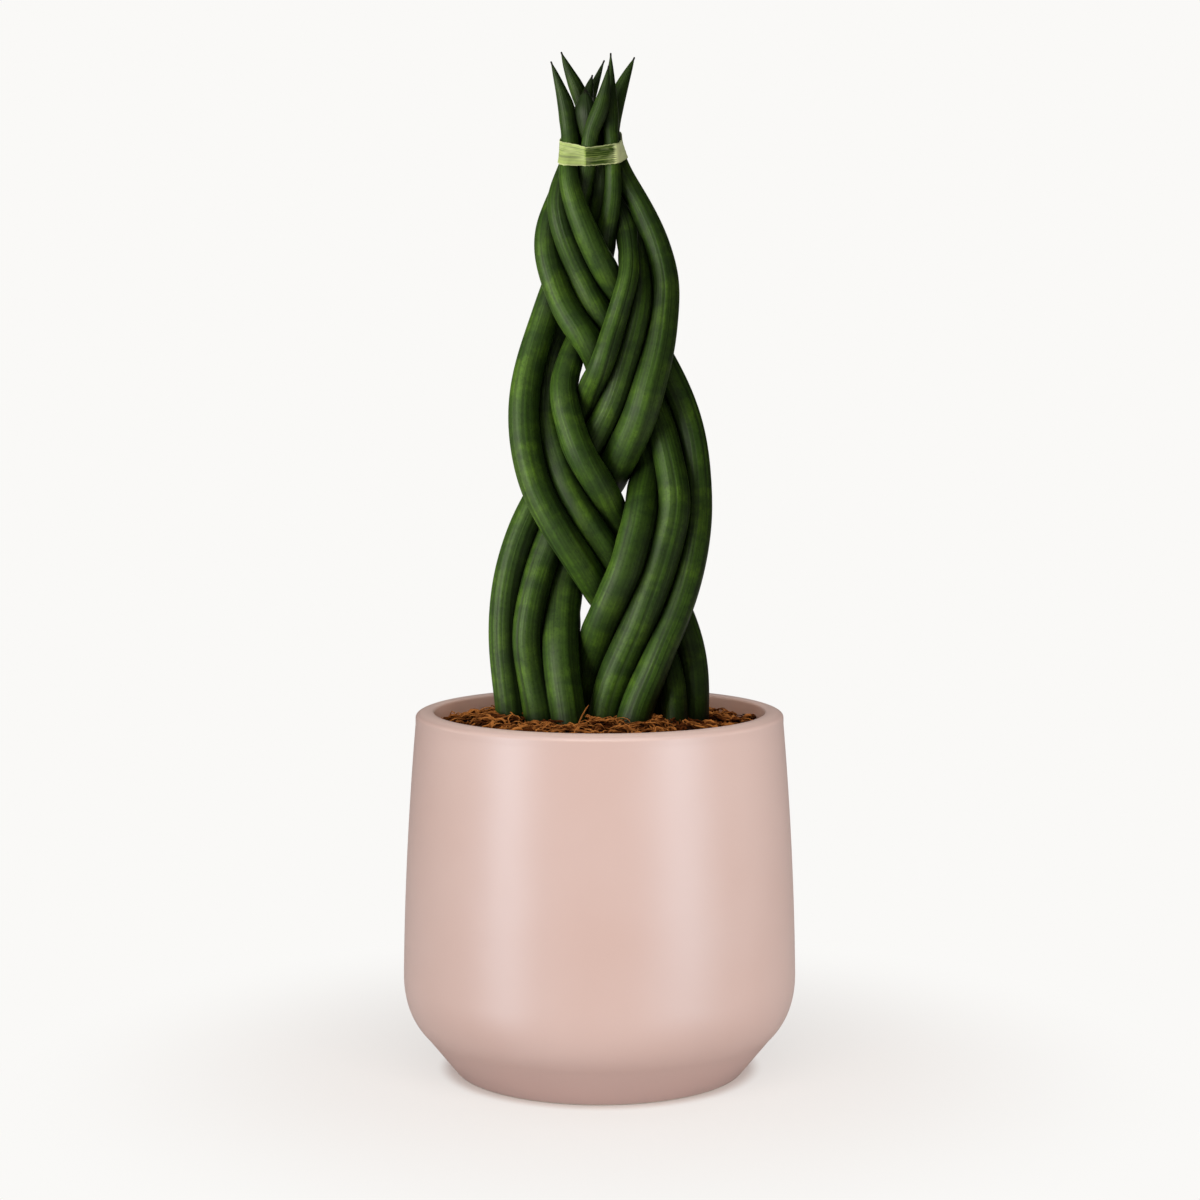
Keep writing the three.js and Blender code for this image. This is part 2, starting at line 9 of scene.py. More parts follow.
import bmesh
import bpy
import numpy as np
from bpy.props import FloatProperty, FloatVectorProperty, IntProperty, PointerProperty
from bpy.types import Operator, Panel, PropertyGroup
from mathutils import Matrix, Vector

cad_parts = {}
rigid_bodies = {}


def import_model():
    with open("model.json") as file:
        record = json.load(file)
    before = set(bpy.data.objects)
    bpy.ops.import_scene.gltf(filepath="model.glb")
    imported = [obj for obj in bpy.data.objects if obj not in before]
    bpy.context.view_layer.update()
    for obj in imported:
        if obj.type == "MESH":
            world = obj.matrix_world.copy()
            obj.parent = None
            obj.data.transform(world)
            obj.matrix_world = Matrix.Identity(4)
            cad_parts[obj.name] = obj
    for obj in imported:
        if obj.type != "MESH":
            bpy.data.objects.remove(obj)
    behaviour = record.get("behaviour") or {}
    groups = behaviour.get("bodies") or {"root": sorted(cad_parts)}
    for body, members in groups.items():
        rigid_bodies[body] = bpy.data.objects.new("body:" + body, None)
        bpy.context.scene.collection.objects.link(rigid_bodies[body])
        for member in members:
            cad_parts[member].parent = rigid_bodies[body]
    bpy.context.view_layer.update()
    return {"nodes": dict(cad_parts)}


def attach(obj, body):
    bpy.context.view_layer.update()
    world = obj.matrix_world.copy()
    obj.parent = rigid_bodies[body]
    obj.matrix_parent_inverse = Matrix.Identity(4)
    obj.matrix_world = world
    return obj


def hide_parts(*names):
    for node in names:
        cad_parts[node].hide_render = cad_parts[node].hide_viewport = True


bl_info = {
    "name": "Plaited Snake Plant",
    "version": (1, 0, 0),
    "blender": (4, 5, 0),
    "location": "View3D > Sidebar > Snake Plant",
    "description": "Finishes a plaited cylindrical snake plant in a glazed pot",
    "category": "Add Mesh",
}

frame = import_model()

MM = 0.001
BODY = "root"
LEAF_NODES = sorted(name for name in frame["nodes"] if name.startswith("leaf_"))

# Height at which the leaves come out of the coir, the sides of a fibre and the fibres in a clump.
COIR_TOP = 153 * MM
FIBRE_SIDES = 4
CLUMP_SIZE = 10

# Heights between which a leaf swells above the tie, its middle moves aside and its tip moves.
SWELL_RISE = (401 * MM, 410 * MM)
MIDDLE_RISE = (402 * MM, 414 * MM)
TIP_RISE = (418 * MM, 436 * MM)

# How far a leaf's middle moves to the right above the tie, and its tip to the right and up, in mm.
TIP_SHIFTS = {
    "leaf_left_1": (0.9, 0, 0),
    "leaf_left_2": (0.2, 0.4, 0),
    "leaf_middle_1": (0, 0.1, 1.4),
    "leaf_middle_3": (0, 0, 0.5),
    "leaf_right_1": (1.3, 1.4, 0.9),
    "leaf_right_2": (0.5, 0.6, 0.4),
    "leaf_right_3": (0.3, 0.4, 0.6),
}

# The share by which two leaves are fuller near their points, which fades between two distances
# from the point, and the distances from the point of every leaf's last, closer rings.
FULLER_TIPS = {"leaf_left_1": 0.4, "leaf_left_2": 0.3}
FULLER_FADE = (12 * MM, 30 * MM)
TIP_RINGS = np.array([2.2, 1.5, 1.0, 0.6, 0.35, 0.18, 0.08, 0.02]) * MM

# Distance of the lights beside the object from the pot's axis, and the tints of all the lights.
LIGHT_DISTANCE = 1.4
COOL_LIGHT = (0.84, 1.0, 1.13)
NEUTRAL_LIGHT = (1.03, 1.0, 0.94)
WARM_LIGHT = (1.0, 1.0, 0.84)


# ---------------------------------------------------------------- colours and settings


def linear(hex_colour):
    """Turns an sRGB hex colour such as "#dcb8ac" into three linear values."""
    levels = [int(hex_colour[i : i + 2], 16) / 255 for i in (1, 3, 5)]
    return tuple(v / 12.92 if v <= 0.04045 else ((v + 0.055) / 1.055) ** 2.4 for v in levels)


def colour(name, description, hex_colour):
    """A colour setting with its default."""
    return FloatVectorProperty(
        name=name, description=description, subtype="COLOR", size=3, min=0, max=1, default=linear(hex_colour)
    )


def length(name, description, default_mm):
    """A length setting whose default is given in millimetres."""
    return FloatProperty(
        name=name, description=description, unit="LENGTH", default=default_mm * MM, precision=5
    )


def number(name, description, default, **extra):
    """A plain number setting, or one with a unit or subtype."""
    return FloatProperty(name=name, description=description, default=default, **extra)


def whole(name, description, default, least=0):
    """A whole number setting."""
    return IntProperty(name=name, description=description, default=default, min=least)


class PotSettings(PropertyGroup):
    """Profile and glaze of the pot."""

    sides: whole("Sides", "Steps round the pot", 192, 24)
    foot_radius: length("Foot radius", "Outer radius of the foot ring", 62.4)
    foot_ring: length("Foot ring", "Width of the foot ring", 8)
    foot_recess: length("Foot recess", "Height of the base inside the foot ring", 2)
    chamfer_radius: length("Chamfer radius", "Radius at the top of the chamfered foot", 76)
    chamfer_height: length("Chamfer height", "Height of the top of the chamfered foot", 16.8)
    shoulder_height: length("Shoulder height", "Height that rounds the turn from chamfer to wall", 26)
    belly_radius: length("Belly radius", "Largest radius", 85.1)
    belly_height: length("Belly height", "Height of the largest radius", 42)
    taper_radius: length("Taper radius", "Radius that bends the wall's taper", 84.3)
    taper_height: length("Taper height", "Height that bends the wall's taper", 95)
    lip_radius: length("Lip radius", "Radius of the middle of the rolled lip", 75.3)
    lip_height: length("Lip height", "Height of the middle of the rolled lip", 152.9)
    lip_roll: length("Lip roll", "Radius of the rolled lip's section", 4.03)
    glaze: colour("Glaze", "Main colour of the glaze", "#d9b7ab")
    glaze_warm: colour("Warm glaze", "Colour where the glaze lies thicker", "#d3ad9f")
    # Colour that the pot darkens to towards its foot.
    glaze_foot: colour("Foot glaze", "Colour on the foot, where the glaze ran thick", "#cfaa9e")
    # Lighter colour painted over the lip's top edge as a painted highlight.
    painted_rim_highlight: colour("Rim glaze", "Colour where the glaze breaks thin over the rim", "#ebc8bb")
    # Lighter, pinker colour painted on the inner wall as painted light.
    painted_light_inside: colour("Inside glaze", "Colour of the thinner glaze inside the rim", "#e8b8a4")
    clay: colour("Bare clay", "Unglazed clay of the foot ring", "#d8c3ae")


class CoirSettings(PropertyGroup):
    """Shredded coconut fibre on top of the potting mix."""

    edge_height: length("Edge height", "Height of the coir at the pot's wall", 150)
    heap: length("Heap", "Rise of the coir towards the middle", 3.4)
    radius: length("Radius", "Radius of the bed", 70.6)
    underside: length("Underside", "Height of the bed's underside", 142.3)
    depth: length("Depth", "Depth of the loose fibres over the bed", 4.0)
    shreds: whole("Shreds", "Broad flat shreds", 2900)
    strands: whole("Strands", "Thin strands", 2600)
    standing: whole("Standing", "Fibres strewn upright, besides the placed ones", 22)
    seed: whole("Seed", "Start of the random draw", 11)
    dark: colour("Dark", "Deepest fibres", "#0c0401")
    mid: colour("Middle", "Most fibres", "#54280b")
    light: colour("Light", "Dry, bright fibres", "#b16d35")


class LeafSettings(PropertyGroup):
    """Round leaves with lengthwise ribs and mottled skin."""

    sides: whole("Sides", "Steps round a leaf", 72, 12)
    step: length("Step", "Distance between rings along a leaf", 1.1)
    evening: length("Evening", "Spread of the average that evens out a leaf's course", 5)
    fullness: number("Fullness", "Share of the solid's radius", 1.03)
    rib_depth: number("Rib depth", "Depth of the ribs as a share of the radius", 0.006)
    channel_depth: number("Channel", "Depth of the channel as a share of the radius", 0.03)
    tip_swell: number("Tip swell", "Share that the leaves swell by above the tie", 0.14)
    tip_fullness: number("Tip fullness", "Share that a leaf swells by at its point", 0.55)
    tip_reach: length("Tip reach", "Distance from the point over which its fullness fades", 8)
    tip_point: length("Tip point", "Radius of the rounded point", 0.38)
    press_reach: length("Press reach", "Widest gap that two leaves close by pressing together", 3.0)
    press_overlap: length("Press overlap", "How far each leaf presses past the middle", 0.1)
    # Reach of the painted shade between leaves.
    contact_shade_reach: length("Crowd reach", "Distance over which skin deepens towards a neighbour", 3.5)
    grooves: whole("Grooves", "Narrow grooves along a leaf", 6)
    groove_depth: number("Groove depth", "Depth as a share of the radius", 0.02)
    seed: whole("Seed", "Start of the random draw", 5)
    green: colour("Green", "Main skin", "#42611e")
    shade: colour("Shade", "Cooler bands across the leaf", "#2f4a1c")
    fresh: colour("Fresh green", "Yellow-green patches", "#5f8226")
    deep: colour("Deep green", "Lines and grooves", "#17250c")
    # Near-black colour of the painted shade between leaves.
    painted_gap_shade: colour("Hidden", "Skin between leaves that touch", "#020501")
    tip: colour("Tip", "Dry brown point", "#0d0903")


class TieSettings(PropertyGroup):
    """Strip of dried leaf round the bundle."""

    height: length("Height", "Height of the strip's middle on the pot's axis", 397)
    width: length("Width", "Width of the strip, measured upright", 8.3)
    tilt: number("Tilt", "Rise towards the back for each metre", 0.36)
    thickness: length("Thickness", "Thickness of the strip", 0.5)
    clearance: length("Clearance", "Air between the strip and the leaves", 0.25)
    centre_x: length("Centre X", "Middle of the bundle, to the right", -2.5)
    centre_y: length("Centre Y", "Middle of the bundle, to the back", 4.5)
    side_dip: length("Side dip", "How much narrower the strip is round the right side", 2.6)
    fold_bearing: number("Fold", "Bearing of the fold in front", 4.53, subtype="ANGLE")
    lap: number("Lap", "Angle either side of the back that is lapped", 0.62, subtype="ANGLE")
    pale: colour("Pale", "Dry pale fibres", "#cfd9a0")
    green: colour("Green", "Main colour", "#93a955")
    olive: colour("Olive", "Dark fibres", "#34491a")
    # Pale colour painted round the strip's right side as painted light.
    painted_light_right: colour("Bleached", "Fibres faded by the sun", "#f6ffc0")


class StageSettings(PropertyGroup):
    """Floor, light and camera."""

    camera_distance: length("Camera distance", "Distance of the camera in front of the pot's axis", 1114)
    camera_height: length("Camera height", "Height of the camera", 307)
    camera_side: length("Camera side", "Offset of the camera to the right", 0.2)
    camera_pitch: number("Pitch", "Downward pitch of the camera", 0.09189, subtype="ANGLE")
    lens: number("Lens", "Focal length in millimetres", 77.97)
    backdrop: colour("Backdrop", "Colour seen behind the object", "#faf9f7")
    floor: colour("Floor", "Colour of the lit floor", "#f9ece5")
    floor_radius: length("Floor radius", "Radius of the round floor", 30000)
    sky: number("Sky", "Strength of the light from all round", 0.02)
    left_power: number("Left light", "Power of the left strip", 8.8, unit="POWER")
    right_power: number("Right light", "Power of the right strip", 9.3, unit="POWER")
    front_power: number("Front light", "Power of the high front softbox", 23.5, unit="POWER")
    top_power: number("Top light", "Power of the softbox above", 8.6, unit="POWER")
    side_power: number("Side lights", "Power of each side panel", 2.9, unit="POWER")
    window_power: number("Window", "Power of the plant's wide left light", 24.0, unit="POWER")
    fill_power: number("Fill", "Power of each of the plant's fill lights", 3.2, unit="POWER")
    back_power: number("Backdrop light", "Power of the panel behind", 3.5, unit="POWER")


# ---------------------------------------------------------------- mesh helpers


def closed_tubes(rings, starts, ends):
    """Points and triangles of closed tubes.

    rings holds a place for each tube, ring and side, and starts and ends hold each tube's two
    end points. Two triangles join each side to the next ring, and a fan closes each end.
    """
    tubes, count, sides, _ = rings.shape
    size = count * sides + 2
    points = np.concatenate([rings.reshape(tubes, -1, 3), starts[:, None], ends[:, None]], axis=1)
    ring, side = np.meshgrid(np.arange(count - 1), np.arange(sides), indexing="ij")
    ahead = (side + 1) % sides
    here = [ring * sides + side, ring * sides + ahead]
    above = [(ring + 1) * sides + side, (ring + 1) * sides + ahead]
    walls = np.stack([here[0], here[1], above[1], here[0], above[1], above[0]], -1).reshape(-1, 3)
    side = np.arange(sides)
    ahead = (side + 1) % sides
    last = (count - 1) * sides
    first_fan = np.stack([np.full(sides, size - 2), ahead, side], -1)
    last_fan = np.stack([np.full(sides, size - 1), last + side, last + ahead], -1)
    one = np.concatenate([walls, first_fan, last_fan])
    faces = (one[None] + (np.arange(tubes) * size)[:, None, None]).reshape(-1, 3)
    return outward(points.reshape(-1, 3), faces)


def outward(points, faces):
    """Turns all faces over if the volume that they hold comes out negative."""
    a, b, c = (points[faces[:, corner]] for corner in range(3))
    held = np.einsum("ij,ij->i", a, np.cross(b, c)).sum()
    return points, faces if held > 0 else faces[:, ::-1]


def spread_to_tubes(values, rings, sides):
    """Values for each tube and ring, repeated for each side, and for the tube's two end points."""
    tubes = values.shape[0]
    body = np.repeat(values[:, :, None], sides, axis=2).reshape(tubes, rings * sides, *values.shape[2:])
    return np.concatenate([body, values[:, :1], values[:, -1:]], axis=1).reshape(-1, *values.shape[2:])


def add_piece(name, points, faces, material, slot, *nodes):
    """Makes a smooth mesh object that rides on the body and stands for the given nodes."""
    mesh = bpy.data.meshes.new(name)
    mesh.vertices.add(len(points))
    mesh.vertices.foreach_set("co", points.astype(np.float32).ravel())
    mesh.loops.add(faces.size)
    mesh.loops.foreach_set("vertex_index", faces.astype(np.int32).ravel())
    mesh.polygons.add(len(faces))
    mesh.polygons.foreach_set("loop_start", np.arange(0, faces.size, 3, dtype=np.int32))
    mesh.update(calc_edges=True)
    mesh.validate()
    mesh.shade_smooth()
    mesh.materials.append(material)
    piece = bpy.data.objects.new(name, mesh)
    bpy.context.scene.collection.objects.link(piece)
    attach(piece, BODY)
    if nodes:
        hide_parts(*nodes)
    return piece


def add_values(piece, name, values):
    """Stores one number or one vector for each point of a piece."""
    kind, key = ("FLOAT", "value") if values.ndim == 1 else ("FLOAT_VECTOR", "vector")
    attribute = piece.data.attributes.new(name, kind, "POINT")
    attribute.data.foreach_set(key, values.astype(np.float32).ravel())


def frames_along(paths, reference):
    """Two directions square to each path: the reference made square to it, and their cross product."""
    along = np.gradient(paths, axis=-2)
    along /= np.linalg.norm(along, axis=-1, keepdims=True)
    right = reference - along * np.sum(along * reference, axis=-1, keepdims=True)
    right /= np.linalg.norm(right, axis=-1, keepdims=True)
    return right, np.cross(along, right)


def rings_round(paths, reference, reach_right, reach_back):
    """Rings square to each path, from each side's reach along the path's two cross directions."""
    right, back = frames_along(paths, reference)
    offset = reach_right[..., None] * right[..., None, :] + reach_back[..., None] * back[..., None, :]
    return paths[..., None, :] + offset


def evened(values, spread):
    """Gaussian-weighted running average of rows of values, mirrored through the ends to hold them."""
    reach = int(3 * spread)
    weights = np.exp(-0.5 * (np.arange(-reach, reach + 1) / spread) ** 2)
    before = 2 * values[0] - values[reach:0:-1]
    after = 2 * values[-1] - values[-2 : -reach - 2 : -1]
    padded = np.concatenate([before, values, after])
    columns = [np.convolve(padded[:, k], weights / weights.sum(), "valid") for k in range(values.shape[1])]
    return np.stack(columns, axis=1)


def smooth_step(values, low, high):
    """0 below low, 1 above high, and an even rise with flat ends between."""
    share = np.clip((values - low) / (high - low), 0, 1)
    return share * share * (3 - 2 * share)


def bell(angle, middle, width):
    """A bell curve of the angle between two directions, 1 where they meet."""
    away = np.abs((angle - middle + np.pi) % (2 * np.pi) - np.pi)
    return np.exp(-((away / width) ** 2))


def whole_turn(steps):
    """Evenly spaced bearings round a whole turn."""
    return np.linspace(0, 2 * np.pi, steps, endpoint=False)


# ---------------------------------------------------------------- materials


def add_node(tree, kind, inputs=None, out=0, **settings):
    """Adds a shader node, sets or links its inputs, and gives one of its outputs.

    A colour input takes three values and full alpha. A node without outputs gives None.
    """
    node = tree.nodes.new("ShaderNode" + kind)
    for name, value in settings.items():
        setattr(node, name, value)
    for key, value in (inputs or {}).items():
        socket = node.inputs[key]
        if isinstance(value, bpy.types.NodeSocket):
            tree.links.new(value, socket)
        else:
            socket.default_value = (*value, 1.0) if socket.type == "RGBA" else value
    return node.outputs[out] if node.outputs else None


def new_material(name):
    """An empty node material and its node tree."""
    material = bpy.data.materials.new(name)
    material.use_nodes = True
    material.node_tree.nodes.clear()
    return material, material.node_tree


def add_surface(tree, tone, roughness, bump, shine):
    """Ends a material in one shader, with a bump of the given height, distance and strength."""
    normal = add_node(tree, "Bump", dict(zip(("Height", "Distance", "Strength"), bump)))
    sockets = {"Base Color": tone, "Roughness": roughness, "Normal": normal, **shine}
    add_node(tree, "OutputMaterial", {0: add_node(tree, "BsdfPrincipled", sockets)})


def satin_glaze(settings):
    """Satin glaze on cast stoneware.

    A smooth, softly shining skin that varies a little where it pooled, with a faint ripple that
    only shows in the highlights. It is darker towards the foot, painted lighter over the rim as a
    painted highlight, painted lighter inside the rim as painted light, and leaves bare clay where
    the foot ring was wiped clean.
    """
    material, tree = new_material("satin glaze on stoneware")
    place = add_node(tree, "TexCoord", out="Object")
    pooled = add_node(tree, "TexNoise", {"Vector": place, "Scale": 1 / (45 * MM), "Detail": 2.0})
    ripple = add_node(tree, "TexNoise", {"Vector": place, "Scale": 1 / (9 * MM), "Detail": 2.0})
    height = add_node(tree, "SeparateXYZ", {0: place}, out="Z")
    level = add_node(tree, "VectorMath", {0: place, 1: (1, 1, 0)}, operation="MULTIPLY")
    from_axis = add_node(tree, "VectorMath", {0: level}, out="Value", operation="LENGTH")

    top = settings.lip_height + settings.lip_roll
    neck = settings.lip_radius - settings.lip_roll
    # Soft ramps: what they follow, where they start and end, and their values there.
    ramps = {
        # The pot darkens towards its foot.
        "towards foot": (height, 13 * MM, 27 * MM, 0.9, 0.0),
        # Painted highlight: the top of the lip is painted lighter.
        "painted highlight": (height, top - 1.3 * MM, top - 0.3 * MM, 0.0, 0.75),
        "wiped": (height, 0.4 * MM, 0.7 * MM, 1.0, 0.0),
    }
    share = {
        name: add_node(tree, "MapRange", dict(enumerate(ramp)), interpolation_type="SMOOTHSTEP")
        for name, ramp in ramps.items()
    }
    inside = add_node(
        tree, "MapRange", {0: from_axis, 1: neck + 0.13 * MM, 2: neck + 1.53 * MM, 3: 1.0, 4: 0.0}
    )
    high_up = add_node(tree, "MapRange", {0: height, 1: 99 * MM, 2: 101 * MM})
    under_rim = add_node(tree, "Math", {0: high_up, 1: share["painted highlight"]}, operation="SUBTRACT")
    # Painted light: the inner wall, above 100 mm and under the rim, takes the lighter inside colour.
    thin = add_node(tree, "Math", {0: inside, 1: under_rim}, operation="MULTIPLY")

    layers = (
        (pooled, settings.glaze_warm),
        (share["towards foot"], settings.glaze_foot),
        (share["painted highlight"], settings.painted_rim_highlight),
        (thin, settings.painted_light_inside),
        (share["wiped"], settings.clay),
    )
    tone = settings.glaze
    for amount, laid_over in layers:
        tone = add_node(tree, "Mix", {0: amount, 6: tone, 7: laid_over}, out=2, data_type="RGBA")
    gloss = add_node(tree, "MapRange", {0: share["wiped"], 3: 0.42, 4: 0.85})
    shine = {"IOR": 1.55, "Coat Weight": 0.6, "Coat Roughness": 0.4, "Coat IOR": 1.6}
    add_surface(tree, tone, gloss, (ripple, 0.03 * MM, 0.6), shine)
    return material


def waxy_leaf(settings):
    """Waxy skin of a round succulent leaf.

    Deep green with soft cross bands, fresher patches and fine specks, thin lengthwise lines where
    the fibres run, painted shade in the grooves, a satin wax that greys the lit side, deeper skin
    towards the tip, near-black painted shade where leaves lie close together and just above the
    coir, and a dry brown point.
    """
    material, tree = new_material("waxy leaf skin")
    straight = add_node(tree, "Attribute", out="Vector", attribute_name="straight_mm")
    from_tip, sunk, contact_shade = (
        add_node(tree, "Attribute", out="Fac", attribute_name=name)
        for name in ("from_tip_mm", "sunk", "contact_shade")
    )

    # Noise patterns: waves per millimetre across and along a leaf, detail, the noise at which the
    # pattern starts and ends, and its share at the end.
    patterns = {
        "lines": (0.85, 0.008, 3.0, 0.38, 0.62, 1.0),
        "bands": (0.055, 0.14, 5.0, 0.4, 0.64, 0.75),
        "patches": (0.085, 0.12, 5.0, 0.46, 0.72, 0.7),
        "specks": (1.1, 0.9, 4.0, 0.46, 0.72, 0.4),
    }
    share = {}
    for name, (across, along, detail, start, end, most) in patterns.items():
        waves = add_node(tree, "VectorMath", {0: straight, 1: (across, across, along)}, operation="MULTIPLY")
        noise = add_node(tree, "TexNoise", {"Vector": waves, "Scale": 1.0, "Detail": detail})
        ramp = {0: noise, 1: start, 2: end, 4: most}
        share[name] = add_node(tree, "MapRange", ramp, interpolation_type="SMOOTHSTEP")

    # Even ramps: what they follow, where they start and end, and their values there.
    ramps = {
        "towards tip": (from_tip, 4.0, 38.0, 0.58, 0.0),
        "between lines": (share["lines"], 0.0, 1.0, 0.45, 0.0),
        # Painted shade: the skin is darker where the grooves and channel sink in.
        "in grooves": (sunk, 0.0, 1.0, 0.0, 0.55),
        # Painted shade: the skin goes near black where leaves lie close together or just above the coir.
        "shaded by neighbours": (contact_shade, 0.0, 1.0, 0.0, 0.98),
        "wax": (share["lines"], 0.0, 1.0, 0.54, 0.48),
    }
    for name, ramp in ramps.items():
        share[name] = add_node(tree, "MapRange", dict(enumerate(ramp)))
    dry = add_node(
        tree, "MapRange", {0: from_tip, 1: 0.5, 2: 3.2, 3: 1.0, 4: 0.0}, interpolation_type="SMOOTHSTEP"
    )
    layers = (
        (share["bands"], settings.shade),
        (share["patches"], settings.fresh),
        (share["specks"], settings.deep),
        (share["towards tip"], settings.deep),
        (share["between lines"], settings.deep),
        (share["in grooves"], settings.deep),
        (share["shaded by neighbours"], settings.painted_gap_shade),
        (dry, settings.tip),
    )
    tone = settings.green
    for amount, laid_over in layers:
        tone = add_node(tree, "Mix", {0: amount, 6: tone, 7: laid_over}, out=2, data_type="RGBA")
    add_surface(tree, tone, share["wax"], (share["lines"], 0.08 * MM, 0.8), {"IOR": 1.34})
    return material


def coir_fibre(settings):
    """Shredded coconut husk.

    Dry, matt, reddish brown fibres, each of its own tone, with painted shade that darkens the
    fibres lying lower in the pile and the bed beneath them; lighter where the strand frays.
    """
    material, tree = new_material("coconut coir fibre")
    shade = add_node(tree, "Attribute", out="Fac", attribute_name="shade")
    place = add_node(tree, "TexCoord", out="Object")
    fray = add_node(tree, "TexNoise", {"Vector": place, "Scale": 1 / (1.4 * MM), "Detail": 3.0})
    mixed = add_node(tree, "Math", {0: fray, 1: 0.5, 2: shade}, operation="MULTIPLY_ADD")
    tone = settings.dark
    for start, end, lighter in ((0.2, 0.75, settings.mid), (0.75, 1.3, settings.light)):
        amount = add_node(tree, "MapRange", {0: mixed, 1: start, 2: end})
        tone = add_node(tree, "Mix", {0: amount, 6: tone, 7: lighter}, out=2, data_type="RGBA")
    add_surface(tree, tone, 0.82, (fray, 0.15 * MM, 0.6), {"Specular IOR Level": 0.05})
    return material


def potting_soil():
    """Moist potting mix: dark crumbs a few millimetres across with paler specks of bark."""
    material, tree = new_material("moist potting mix")
    place = add_node(tree, "TexCoord", out="Object")
    crumbs = add_node(tree, "TexVoronoi", {"Vector": place, "Scale": 1 / (3.5 * MM)}, out="Distance")
    grain = add_node(tree, "TexNoise", {"Vector": place, "Scale": 1 / (2 * MM), "Detail": 5.0})
    tone = add_node(
        tree, "Mix", {0: grain, 6: linear("#1d130c"), 7: linear("#56402c")}, out=2, data_type="RGBA"
    )
    add_surface(tree, tone, 0.95, (crumbs, 1.2 * MM, 1.0), {})
    return material


def dried_strip(settings):
    """Dried, flattened leaf strip.

    Pale green with long parallel fibres; painted light makes it paler before the fold, painted
    shade makes it olive past the fold, and painted light makes it pale round the right side. It is
    brighter along both cut edges, with little shine.
    """
    material, tree = new_material("dried leaf strip")
    strip = add_node(tree, "Attribute", out="Vector", attribute_name="strip_mm")
    noises = []
    for along, across, detail in ((0.05, 2.0, 3.0), (0.12, 0.3, 2.0)):
        waves = add_node(tree, "VectorMath", {0: strip, 1: (along, across, 1.0)}, operation="MULTIPLY")
        noises.append(add_node(tree, "TexNoise", {"Vector": waves, "Scale": 1.0, "Detail": detail}))
    fibres, stains = noises
    from_fold = add_node(tree, "SeparateXYZ", {0: strip}, out="X")
    from_middle = add_node(tree, "SeparateXYZ", {0: strip}, out="Y")
    outwards = add_node(tree, "Math", {0: from_middle}, operation="ABSOLUTE")

    # Soft ramps, then even ones: what they follow, where they start and end, and their values there.
    # Painted shade: past the fold the strip is darker olive.
    ramps = {"edge": (outwards, 3.5, 4.0, 0.0, 0.8), "shaded past fold": (from_fold, -0.2, 0.5, 0.0, 0.11)}
    share = {
        name: add_node(tree, "MapRange", dict(enumerate(ramp)), interpolation_type="SMOOTHSTEP")
        for name, ramp in ramps.items()
    }
    fibres_less_shade = add_node(tree, "Math", {0: fibres, 1: share["shaded past fold"]}, operation="SUBTRACT")
    ragged = add_node(tree, "Math", {0: fibres, 1: 6.0, 2: from_fold}, operation="MULTIPLY_ADD")
    ramps = {
        "whole": (fibres_less_shade, 0.38, 0.56, 0.0, 1.0),
        "stained": (stains, 0.5, 0.75, 0.0, 0.4),
        "lit before fold": (from_fold, -1.0, 0.0, 0.33, 0.0),
        "lit round the side": (ragged, 15.0, 16.4, 0.0, 1.0),
        "back to fibres": (from_fold, 20.0, 36.0, 0.9, 0.3),
    }
    for name, ramp in ramps.items():
        share[name] = add_node(tree, "MapRange", dict(enumerate(ramp)))
    # Pale layer: the real stains, and painted light on the facet before the fold.
    pale = add_node(
        tree, "Math", {0: share["stained"], 1: share["lit before fold"]}, operation="ADD", use_clamp=True
    )
    # Painted light: round the right side the strip turns pale.
    brightened = add_node(
        tree, "Math", {0: share["lit round the side"], 1: share["back to fibres"]}, operation="MULTIPLY"
    )
    layers = (
        (share["whole"], settings.green),
        (pale, settings.pale),
        (brightened, settings.painted_light_right),
        (share["edge"], settings.pale),
    )
    tone = settings.olive
    for amount, laid_over in layers:
        tone = add_node(tree, "Mix", {0: amount, 6: tone, 7: laid_over}, out=2, data_type="RGBA")
    add_surface(tree, tone, 0.5, (fibres, 0.12 * MM, 0.8), {"Specular IOR Level": 0.12})
    return material


# ---------------------------------------------------------------- leaf courses


def merged_corners(node):
    """Corners and edges of a node whose loose triangles are joined."""
    builder = bmesh.new()
    builder.from_mesh(node.data)
    bmesh.ops.remove_doubles(builder, verts=builder.verts, dist=0.002 * MM)
    mesh = bpy.data.meshes.new("joined")
    builder.to_mesh(mesh)
    builder.free()
    points = np.empty(len(mesh.vertices) * 3)
    edges = np.empty(len(mesh.edges) * 2, dtype=np.int32)
    mesh.vertices.foreach_get("co", points)
    mesh.edges.foreach_get("vertices", edges)
    bpy.data.meshes.remove(mesh)
    return points.reshape(-1, 3), edges.reshape(-1, 2)


def solid_course(node):
    """Centre and radius of each ring of a leaf's solid, from the root to the tip.

    Each ring lies one edge further from the tip than the ring before, so rings are found by
    walking outwards from the highest corner, and a ring's centre is the mean of its corners.
    """
    points, edges = merged_corners(node)
    steps = np.full(len(points), -1)
    steps[points[:, 2].argmax()] = 0
    for step in range(1, len(points)):
        reached = edges[(steps[edges] == step - 1)[:, ::-1]]
        reached = reached[steps[reached] < 0]
        if not len(reached):
            break
        steps[reached] = step
    counts = np.bincount(steps)
    centres = np.stack([np.bincount(steps, points[:, k]) for k in range(3)], axis=1) / counts[:, None]
    radii = np.zeros(len(counts))
    np.maximum.at(radii, steps, np.linalg.norm(points - centres[steps], axis=1))
    return centres[::-1], radii[::-1]


